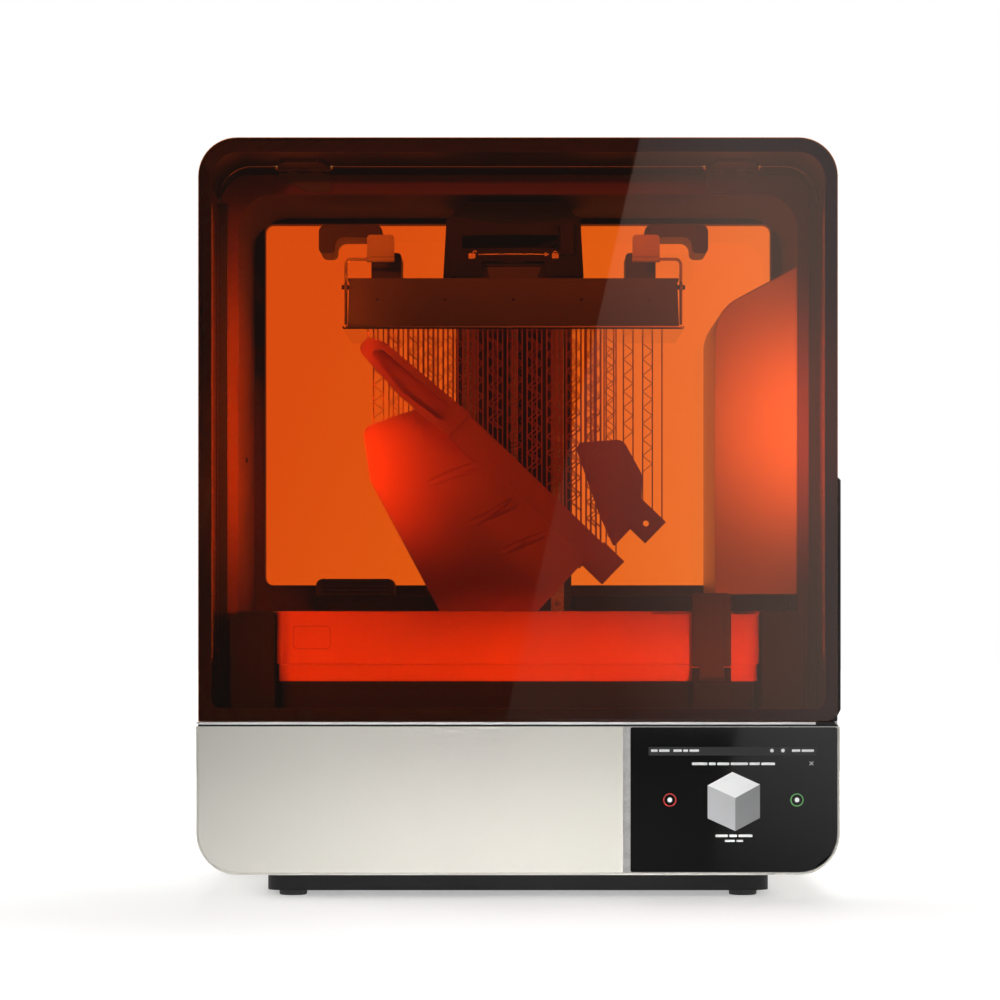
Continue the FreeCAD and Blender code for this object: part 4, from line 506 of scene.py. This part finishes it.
def cutDents(piece):
    d = dents
    skin = skinOf(piece.data)
    for line in d["lines"]:
        ends = []
        for (x, z), shift in zip(line, (-d["raised"], d["sunk"])):
            met = skin.ray_cast(Vector((x * mm, d["from"], z * mm)), Vector((0, 1, 0)))[0]
            ends.append(met + Vector((0, shift * mm, 0)))
        dropPick()
        bpy.ops.mesh.primitive_uv_sphere_add(segments=24, ring_count=14, radius=1.0)
        cutter = added()
        layBetween(cutter, *ends, d["wide"] * mm, 2.0)
        settle([cutter])
        modify(piece, "BOOLEAN", operation="DIFFERENCE", object=cutter, solver="EXACT")
        bpy.data.objects.remove(cutter)


# the dish in the grip of the printed scoop, deeper than in the solid
dish = {"floor": 7.0, "slack": 0.2, "deeper": 10.0}


def deepenDish(piece):
    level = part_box("printed_scoop")[0].y + dish["floor"] * mm

    def isFloor(face):
        off = abs(face.calc_center_median().y - level)
        return face.normal.y < -facing and off < dish["slack"] * mm

    openWhere(piece, "FACE", isFloor)
    bpy.ops.transform.translate(value=(0, dish["deeper"] * mm, 0))
    closeEdit()


def softenNode(nodeName, width):
    piece = copyOf(cadNodes[nodeName])
    openEdit(piece, "VERT", True)
    bpy.ops.mesh.remove_doubles(threshold=mergeGap)
    bpy.ops.mesh.dissolve_limited(angle_limit=math.radians(softAngles["flat"]))
    closeEdit()
    if nodeName == "printed_scoop":
        deepenDish(piece)
    modify(piece, "BEVEL", width=width * mm, segments=2, limit_method="ANGLE",
           angle_limit=math.radians(softAngles["corner"]), use_clamp_overlap=True)
    if nodeName == "printed_scoop":
        cutDents(piece)
    finishPiece(piece, "soft_" + nodeName, finishOf(nodeName), bodyOf[nodeName],
                softAngles["smooth"])
    modify(piece, "WEIGHTED_NORMAL", keep_sharp=True)
    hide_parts(nodeName)
    return piece


softened = {nodeName: softenNode(nodeName, width) for nodeName, width in softEdges.items()}
print("edges softened on", len(softened), "nodes")


# height of the column tops of the printed piece; the printed pieces get meshes of their own
growth = {"top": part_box("printed_scoop")[1].z, "keep": 0.07}


def letGrow(piece):
    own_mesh(piece)


letGrow(softened["printed_scoop"])

# slanting braces between the support columns of the printed piece
braces = {
    "thick": 0.45, "rise": 9.0, "start": 4.0, "apart": 2.5, "rowGap": 1.0, "beside": 1.5, "reach": 12.0,
    "flush": 0.01, "under": 0.1, "smooth": 60,
}


def columnPlaces():  # middles of the column tops, in rows from front to back
    b = braces
    lowest = growth["top"] - b["flush"] * mm
    vertices = cadNodes["printed_scoop"].data.vertices
    corners = [vertex.co for vertex in vertices if vertex.co.z > lowest]
    groups = []
    for corner in corners:
        for group in groups:
            if (group[0] - corner).length < b["apart"] * mm:
                group.append(corner)
                break
        else:
            groups.append([corner])
    middles = []
    for group in groups:
        across = [corner.x for corner in group]
        along = [corner.y for corner in group]
        middles.append(((min(across) + max(across)) / 2, (min(along) + max(along)) / 2))
    rows = {}
    for x, y in middles:
        rows.setdefault(round(y / (b["rowGap"] * mm)), []).append((x, y))
    return [sorted(row) for row in rows.values()]


def makeBraces():
    b = braces
    skin = skinOf(cadNodes["printed_scoop"].data)

    def landing(x, y):  # height of the first surface beside a column
        found = []
        for side in (-1, 1):
            start = Vector((x + side * b["beside"] * mm, y, growth["top"] - b["under"] * mm))
            met = skin.ray_cast(start, Vector((0, 0, -1)))[0]
            found.append(met.z if met else growth["top"])
        return max(found)

    struts = []
    for row in columnPlaces():
        for first, second in list(zip(row, row[1:]))[::2]:  # every second gap of the row
            x0, y = first
            x1 = second[0]
            if x1 - x0 > b["reach"] * mm:
                continue
            floor = max(landing(x0, y), landing(x1, y))
            level = growth["top"] - b["start"] * mm
            ends = (x0, x1)
            while level - b["rise"] * mm > floor:
                foot = Vector((ends[1], y, level - b["rise"] * mm))
                struts.append((foot, Vector((ends[0], y, level))))
                level -= b["rise"] * mm
                ends = ends[::-1]
    dropPick()
    bpy.ops.mesh.primitive_cylinder_add(vertices=5, radius=1.0, depth=1.0, end_fill_type="NGON")
    master = added()
    copies = []
    for low, high in struts:
        strut = copyOf(master)
        layBetween(strut, low, high, b["thick"] * mm, 1.0)
        copies.append(strut)
    bpy.data.objects.remove(master)
    settle(copies)
    piece = finishPiece(joinAll(copies), "support_braces", finishes["print_resin"], "platform",
                        b["smooth"])
    letGrow(piece)
    print("braces between columns:", len(struts))


makeBraces()


# painted marks on the carriage cover and the line mark on the tank
coverMarks = {
    "axis": (-1.0, 105.0), "bow": 160.0, "lift": 0.12, "thick": 0.15,
    "arrow": (-43.0, 29.0, 683.4, 0.5), "steps": 16, "head": 2.4,
    "locks": [(-50.0, 679.2, True), (40.6, 679.2, False)], "lockWide": 7.4, "lockHigh": 5.6,
    "lockRound": 0.15, "shackle": 0.32, "shackleWide": 0.9, "shackleSides": 24, "swung": 0.42, "raised": 0.6,
}


def onCover(piece):  # lays a flat mark on the bowed front of the cover
    c = coverMarks
    for vertex in piece.data.vertices:
        x = vertex.co.x / mm - c["axis"][0]
        vertex.co.y += (c["axis"][1] - math.sqrt(c["bow"] ** 2 - x * x) - c["lift"]) * mm


def halfRing(x, z, radius, wide, thick):
    piece = ring(x, z, radius, wide, 0.0, thick, coverMarks["shackleSides"])
    openEdit(piece, "VERT", True)
    bpy.ops.mesh.bisect(plane_co=(x * mm, 0, z * mm), plane_no=(0, 0, 1), clear_inner=True, use_fill=True)
    closeEdit()
    return piece


def makeCoverMarks():
    c = coverMarks
    thick = c["thick"] * mm
    left, right, level, half = c["arrow"]
    steps = [left + (right - left) * i / c["steps"] for i in range(c["steps"] + 1)]
    shaft = [(x, level - half) for x in steps] + [(x, level + half) for x in reversed(steps)]
    tip = [(right, level - c["head"]), (right + 2 * c["head"], level), (right, level + c["head"])]
    flat = [flatOutline(shaft, 0.0, thick), flatOutline(tip, 0.0, thick)]
    for x, z, isOpen in c["locks"]:
        side = c["lockWide"] / 2
        top = z + c["lockHigh"]
        flat.append(bar(x - side, z, x + side, top, 0.0, thick, c["lockRound"]))
        shift = c["lockWide"] * c["swung"] if isOpen else 0.0
        lift = c["raised"] if isOpen else 0.0
        flat.append(halfRing(x + shift, top + lift, c["lockWide"] * c["shackle"], c["shackleWide"], thick))
    for piece in flat:
        onCover(piece)
    finishPiece(joinAll(flat), "cover_marks", finishes["paintedWhite"], "carriage")


makeCoverMarks()

tankMark = {
    "box": (-237.4, 256.1, -198.0, 280.4), "corner": 4.5, "steps": 6,
    "wide": 0.45, "thick": 0.15, "lift": 0.02,
}


def makeTankMark():
    t = tankMark
    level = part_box("tank_frame")[0].y - t["lift"] * mm
    x0, z0, x1, z1 = t["box"]
    r = t["corner"]
    middles = ((x1 - r, z0 + r, -90), (x1 - r, z1 - r, 0), (x0 + r, z1 - r, 90), (x0 + r, z0 + r, 180))
    points = []
    for x, z, start in middles:  # a quarter turn about the middle of each rounded corner
        for i in range(t["steps"] + 1):
            turn = math.radians(start + 90 * i / t["steps"])
            points.append((x + r * math.cos(turn), z + r * math.sin(turn)))
    piece = hollow(flatOutline(points, level, t["thick"] * mm), t["wide"])
    finishPiece(piece, "tank_mark", finishes["tankLine"], "chassis")


makeTankMark()
print("marks painted")


# screws, all from one socket head
rearPlaces = [(-316, 164), (-110, 164), (60, 164), (316, 164), (-270, 36), (-60, 36), (60, 36), (270, 36),
              (-316, 230), (-316, 470), (-316, 710), (316, 230), (316, 470), (316, 710),
              (-150, 768), (150, 768), (-150, 200), (150, 200)]
screwSets = {
    "liner": {"body": "chassis", "finish": "darkScrew", "size": 3.2, "high": 2.6, "turn": (1, 0, 0),
              "places": [(-305.3, 87, 465)]},
    "rear": {"body": "chassis", "finish": "screwSteel", "size": 3.4, "high": 0.9, "turn": (0, 1, 0),
             "places": [(x, 262.4, z) for x, z in rearPlaces]},
    "rails": {"body": "chassis", "finish": "screwSteel", "size": 3.0, "high": 0.8, "turn": (0, -1, 0),
              "places": [(x, 162, z) for x in (-55, 45) for z in range(215, 720, 45)]},
    "platform": {"body": "platform", "finish": "darkScrew", "size": 1.5, "high": 0.5, "turn": (0, -1, 0),
                 "places": [(x, -84.0, 631.7) for x in (-151.5, -78.3, -5.0, 68.3, 141.5)]},
}

socket = {"sides": 24, "edge": 0.14, "crown": 0.12, "wall": 0.36, "deep": 0.7}  # shares of the head's size


def socketHead():
    dropPick()
    bpy.ops.mesh.primitive_cylinder_add(vertices=socket["sides"], radius=1.0, depth=1.0, location=(0, 0, 0.5))
    head = added()
    settle([head])
    openWhere(head, "FACE", lambda face: face.normal.z > facing)
    bpy.ops.mesh.inset(thickness=socket["edge"])
    bpy.ops.transform.translate(value=(0, 0, socket["crown"]))
    bpy.ops.mesh.inset(thickness=socket["wall"])
    bpy.ops.mesh.extrude_region_move(TRANSFORM_OT_translate={"value": (0, 0, -socket["deep"])})
    closeEdit()
    return head


def makeScrews():
    master = socketHead()
    for name, spec in screwSets.items():
        heads = []
        for place in spec["places"]:
            head = copyOf(master)
            head.location = [value * mm for value in place]
            head.rotation_euler = Vector(spec["turn"]).to_track_quat("Z", "Y").to_euler()
            head.scale = (spec["size"] * mm, spec["size"] * mm, spec["high"] * mm)
            heads.append(head)
        settle(heads)
        finishPiece(joinAll(heads), "screws_" + name, finishes[spec["finish"]], spec["body"])
    bpy.data.objects.remove(master)


makeScrews()
print("screws placed")


# contacts in the sockets at the back
contacts = {
    "pins": [(235.0, 98.5), (249.0, 98.5), (242.0, 104.5)],
    "pinWide": 2.0, "pinHigh": 4.4, "pinFrom": 244.6, "pinLong": 12.0,
    "tongues": [(149.6, 100.2, 160.4, 101.4), (169.6, 100.2, 180.4, 101.4)],
    "tongueFrom": 248.8, "tongueLong": 9.0, "tongueRound": 0.2,
}


def makeContacts():
    c = contacts
    wide, high = c["pinWide"] / 2, c["pinHigh"] / 2
    pinEnd = (c["pinFrom"] + c["pinLong"]) * mm
    made = [bar(x - wide, z - high, x + wide, z + high, pinEnd, c["pinLong"] * mm) for x, z in c["pins"]]
    tongueEnd = (c["tongueFrom"] + c["tongueLong"]) * mm
    made += [bar(*box, tongueEnd, c["tongueLong"] * mm, c["tongueRound"]) for box in c["tongues"]]
    finishPiece(joinAll(made), "socket_contacts", finishes["brass"], "chassis")


makeContacts()
print("contacts made")


# lead screw with its two-start thread
thread = {
    "core": 6.7, "sunk": 0.4, "crest": 1.5, "root": 2.9, "lead": 10.0, "starts": 2, "steps": 16, "full": 0.98,
}


def makeThread():
    t = thread
    low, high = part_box("lead_screw")
    axis = (low + high) / 2
    outer = (high.x - low.x) / 2
    shaft = copyOf(cadNodes["lead_screw"])
    tidyMesh(shaft)
    levels = []
    for vertex in shaft.data.vertices:
        away = Vector((vertex.co.x - axis.x, vertex.co.y - axis.y))
        if away.length > outer * t["full"]:  # only the threaded length has the full radius
            levels.append(vertex.co.z)
            vertex.co.x = axis.x + away.x * t["core"] * mm / outer
            vertex.co.y = axis.y + away.y * t["core"] * mm / outer
    start, end = min(levels) + t["root"] * mm, max(levels) - t["root"] * mm
    dropPick()
    bpy.ops.mesh.primitive_circle_add(vertices=4, radius=seedSize)
    ridge = added()
    inside = (t["core"] - t["sunk"]) * mm
    half = t["crest"] / 2 * mm
    foot = t["root"] / 2 * mm
    outline = [(inside, -foot), (outer, -half), (outer, half), (inside, foot)]
    for vertex, (x, z) in zip(ridge.data.vertices, outline):
        vertex.co = (x, 0, z)
    modify(ridge, "SCREW", axis="Z", screw_offset=t["lead"] * mm, steps=t["steps"], render_steps=t["steps"],
           iterations=int((end - start) / (t["lead"] * mm)))
    openEdit(ridge, "VERT", True)
    bpy.ops.mesh.fill_holes(sides=4)
    closeEdit()
    ridges = [ridge] + [copyOf(ridge) for i in range(t["starts"] - 1)]
    for i, piece in enumerate(ridges):
        piece.rotation_euler.z = i * math.tau / t["starts"]
        piece.location = (axis.x, axis.y, start)
    settle(ridges)
    for piece in ridges:
        tidyMesh(piece)
    piece = finishPiece(joinAll([shaft] + ridges), "threaded_screw", finishes["steel"], "screw")
    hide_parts("lead_screw")


makeThread()
print("thread cut")


# studio
studio = {
    "camera": (0.0, -4.264, 0.2973), "lens": 139.7, "sensor": 36.0, "shift": (-0.018, 0.110), "clip": 60.0,
    "worldLight": 0.14, "cardPlane": -4.3, "cardThick": 0.01,
}
middle = (0.0, 0.0, 0.4)
openSpread = 180.0
lamps = {  # wide lamps for the whole object, then narrow beams for single places
    "key": {"at": (2.7, -2.1, 1.5), "to": middle, "size": 0.9, "watts": 10.0},
    "sideRight": {"at": (3.0, 0.9, 1.4), "to": middle, "size": 1.6, "watts": 26.0},
    "sideLeft": {"at": (-3.0, 0.9, 1.4), "to": middle, "size": 1.6, "watts": 45.0},
    "top": {"at": (0.2, 0.6, 2.9), "to": middle, "size": 2.0, "watts": 45.0},
    "back": {"at": (0.3, 2.8, 0.9), "to": middle, "size": 1.4, "watts": 50.0},
    "low": {"at": (0.6, -3.2, 0.25), "to": (-0.04, -0.26, 0.0), "size": 0.6, "tall": 0.1,
            "watts": 0.66, "spread": 10.0},
    "tank": {"at": (0.5, -3.2, 0.28), "to": (-0.01, -0.17, 0.245), "size": 0.6, "tall": 0.03,
             "watts": 0.155, "spread": 3.0},
    "left": {"at": (1.2, -3.0, 0.55), "to": (-0.315, 0.0, 0.51), "size": 0.1, "tall": 0.3,
             "watts": 0.68, "spread": 4.6},
    "blade": {"at": (-1.6, -2.8, 0.50), "to": (-0.205, -0.09, 0.45), "size": 0.1,
              "watts": 0.11, "spread": 3.8},
    "right": {"at": (-0.7, -3.0, 0.52), "to": (0.335, -0.03, 0.50), "size": 0.1,
              "watts": 0.32, "spread": 5.5},
    "band": {"at": (-0.8, -3.2, 0.85), "to": (-0.05, -0.05, 0.72), "size": 0.5, "tall": 0.05,
             "watts": 0.2, "spread": 4.0},
}
floorLook = {
    "size": 30.0, "tone": 0.86, "vary": 0.01, "grain": 40.0, "rough": 0.9, "specular": 0.1,
    "lift": 0.37, "fade": (0.7, 2.2),
}
cards = {
    "studio_card_dark": {"points": [(-4.0, -1.2), (0.22, -1.2), (0.40, -0.241), (0.456, 0.058),
                                    (-0.026, 0.067), (0.252, 1.273), (0.60, 2.8), (-4.0, 2.8)],
                         "slope": ((0, 0, -1.2), (0, 0, 2.8)), "glow": (0.10, 0.12)},
    "studio_card_high": {"points": [(-0.026, 0.067), (4.0, 0.067), (4.0, 2.8), (0.60, 2.8), (0.252, 1.273)],
                         "slope": ((0.178, 0, 0.229), (0.654, 0, 0.336)), "glow": (0.3, 1.3)},
    "studio_card_low": {"points": [(0.22, -1.2), (4.0, -1.2), (4.0, 0.067), (0.456, 0.058), (0.40, -0.241)],
                        "slope": ((0.4, 0, -0.24), (0.6, 0, 0.06)), "glow": (0.15, 0.9)},
}


def aim(thing, target):
    thing.rotation_euler = (Vector(target) - thing.location).to_track_quat("-Z", "Y").to_euler()


def makeCamera():
    dropPick()
    bpy.ops.object.camera_add(location=studio["camera"], rotation=(math.pi / 2, 0, 0))
    camera = added()
    camera.data.lens = studio["lens"]
    camera.data.sensor_width = studio["sensor"]
    camera.data.shift_x, camera.data.shift_y = studio["shift"]
    camera.data.clip_end = studio["clip"]
    bpy.context.scene.camera = camera


def makeLamps():
    for name, lamp in lamps.items():
        dropPick()
        bpy.ops.object.light_add(type="AREA", location=lamp["at"])
        light = added()
        light.name = name + "Light"
        light.data.shape = "RECTANGLE"
        light.data.size = lamp["size"]
        light.data.size_y = lamp.get("tall", lamp["size"])
        light.data.energy = lamp["watts"]
        light.data.spread = math.radians(lamp.get("spread", openSpread))
        light.visible_glossy = False
        light.visible_camera = False
        light.visible_transmission = False
        aim(light, lamp["to"])


def makeWorld():  # white where it is seen, a softer light on the object
    world = bpy.context.scene.world or bpy.data.worlds.new("studio")
    bpy.context.scene.world = world
    world.use_nodes = True
    tree = world.node_tree
    backdrop = tree.nodes["Background"]
    backdrop.inputs["Color"].default_value = (1, 1, 1, 1)
    path = tree.nodes.new("ShaderNodeLightPath")
    seen = path.outputs["Is Camera Ray"]
    for kind in ("Is Glossy Ray", "Is Transmission Ray"):
        either = tree.nodes.new("ShaderNodeMath")
        either.operation = "MAXIMUM"
        tree.links.new(seen, either.inputs[0])
        tree.links.new(path.outputs[kind], either.inputs[1])
        seen = either.outputs["Value"]
    level = tree.nodes.new("ShaderNodeMapRange")
    level.inputs["To Min"].default_value = studio["worldLight"]
    level.inputs["To Max"].default_value = 1.0
    tree.links.new(seen, level.inputs["Value"])
    tree.links.new(level.outputs["Result"], backdrop.inputs["Strength"])


def makeFloor():  # paper that fades to the white backdrop further out
    f = floorLook
    dropPick()
    bpy.ops.mesh.primitive_plane_add(size=f["size"], location=(0, 0, 0))
    floor = added()
    floor.name = "studio_floor"
    finish, tree, shader = newTree("floorPaper")
    dark = (f["tone"] - f["vary"],) * 3
    light = (f["tone"] + f["vary"],) * 3
    tree.links.new(toneRamp(tree, grainOf(tree, f["grain"]), dark, light), shader.inputs["Base Color"])
    shader.inputs["Roughness"].default_value = f["rough"]
    shader.inputs["Specular IOR Level"].default_value = f["specular"]
    path = tree.nodes.new("ShaderNodeLightPath")
    place = tree.nodes.new("ShaderNodeTexCoord")
    away = tree.nodes.new("ShaderNodeVectorMath")
    away.operation = "LENGTH"
    tree.links.new(place.outputs["Object"], away.inputs[0])
    fade = tree.nodes.new("ShaderNodeMapRange")
    fade.inputs["From Min"].default_value, fade.inputs["From Max"].default_value = f["fade"]
    fade.inputs["To Min"].default_value = f["lift"]
    fade.inputs["To Max"].default_value = 1.0
    tree.links.new(away.outputs["Value"], fade.inputs["Value"])
    lift = tree.nodes.new("ShaderNodeMath")
    lift.operation = "MULTIPLY"
    tree.links.new(path.outputs["Is Camera Ray"], lift.inputs[0])
    tree.links.new(fade.outputs["Result"], lift.inputs[1])
    shader.inputs["Emission Color"].default_value = (1, 1, 1, 1)
    tree.links.new(lift.outputs["Value"], shader.inputs["Emission Strength"])
    floor.data.materials.append(finish)
    floor.visible_glossy = False


def makeCards():  # glowing cards behind the camera, which only glossy rays see
    for name, spec in cards.items():
        points = [(x / mm, z / mm) for x, z in spec["points"]]
        card = flatOutline(points, studio["cardPlane"], studio["cardThick"])
        card.name = name
        finish, tree, shader = newTree(name)
        low, high = spec["glow"]
        tone = toneRamp(tree, slopeOf(tree, *spec["slope"]), (low,) * 3, (high,) * 3, fullSpan)
        shader.inputs["Base Color"].default_value = (0, 0, 0, 1)
        shader.inputs["Specular IOR Level"].default_value = 0.0
        tree.links.new(tone, shader.inputs["Emission Color"])
        shader.inputs["Emission Strength"].default_value = 1.0
        card.data.materials.append(finish)
        card.visible_camera = False
        card.visible_diffuse = False
        card.visible_transmission = False
        card.visible_shadow = False


makeCamera()
makeLamps()
makeWorld()
makeFloor()
makeCards()
bpy.context.scene.view_settings.view_transform = "Standard"
print("studio set")
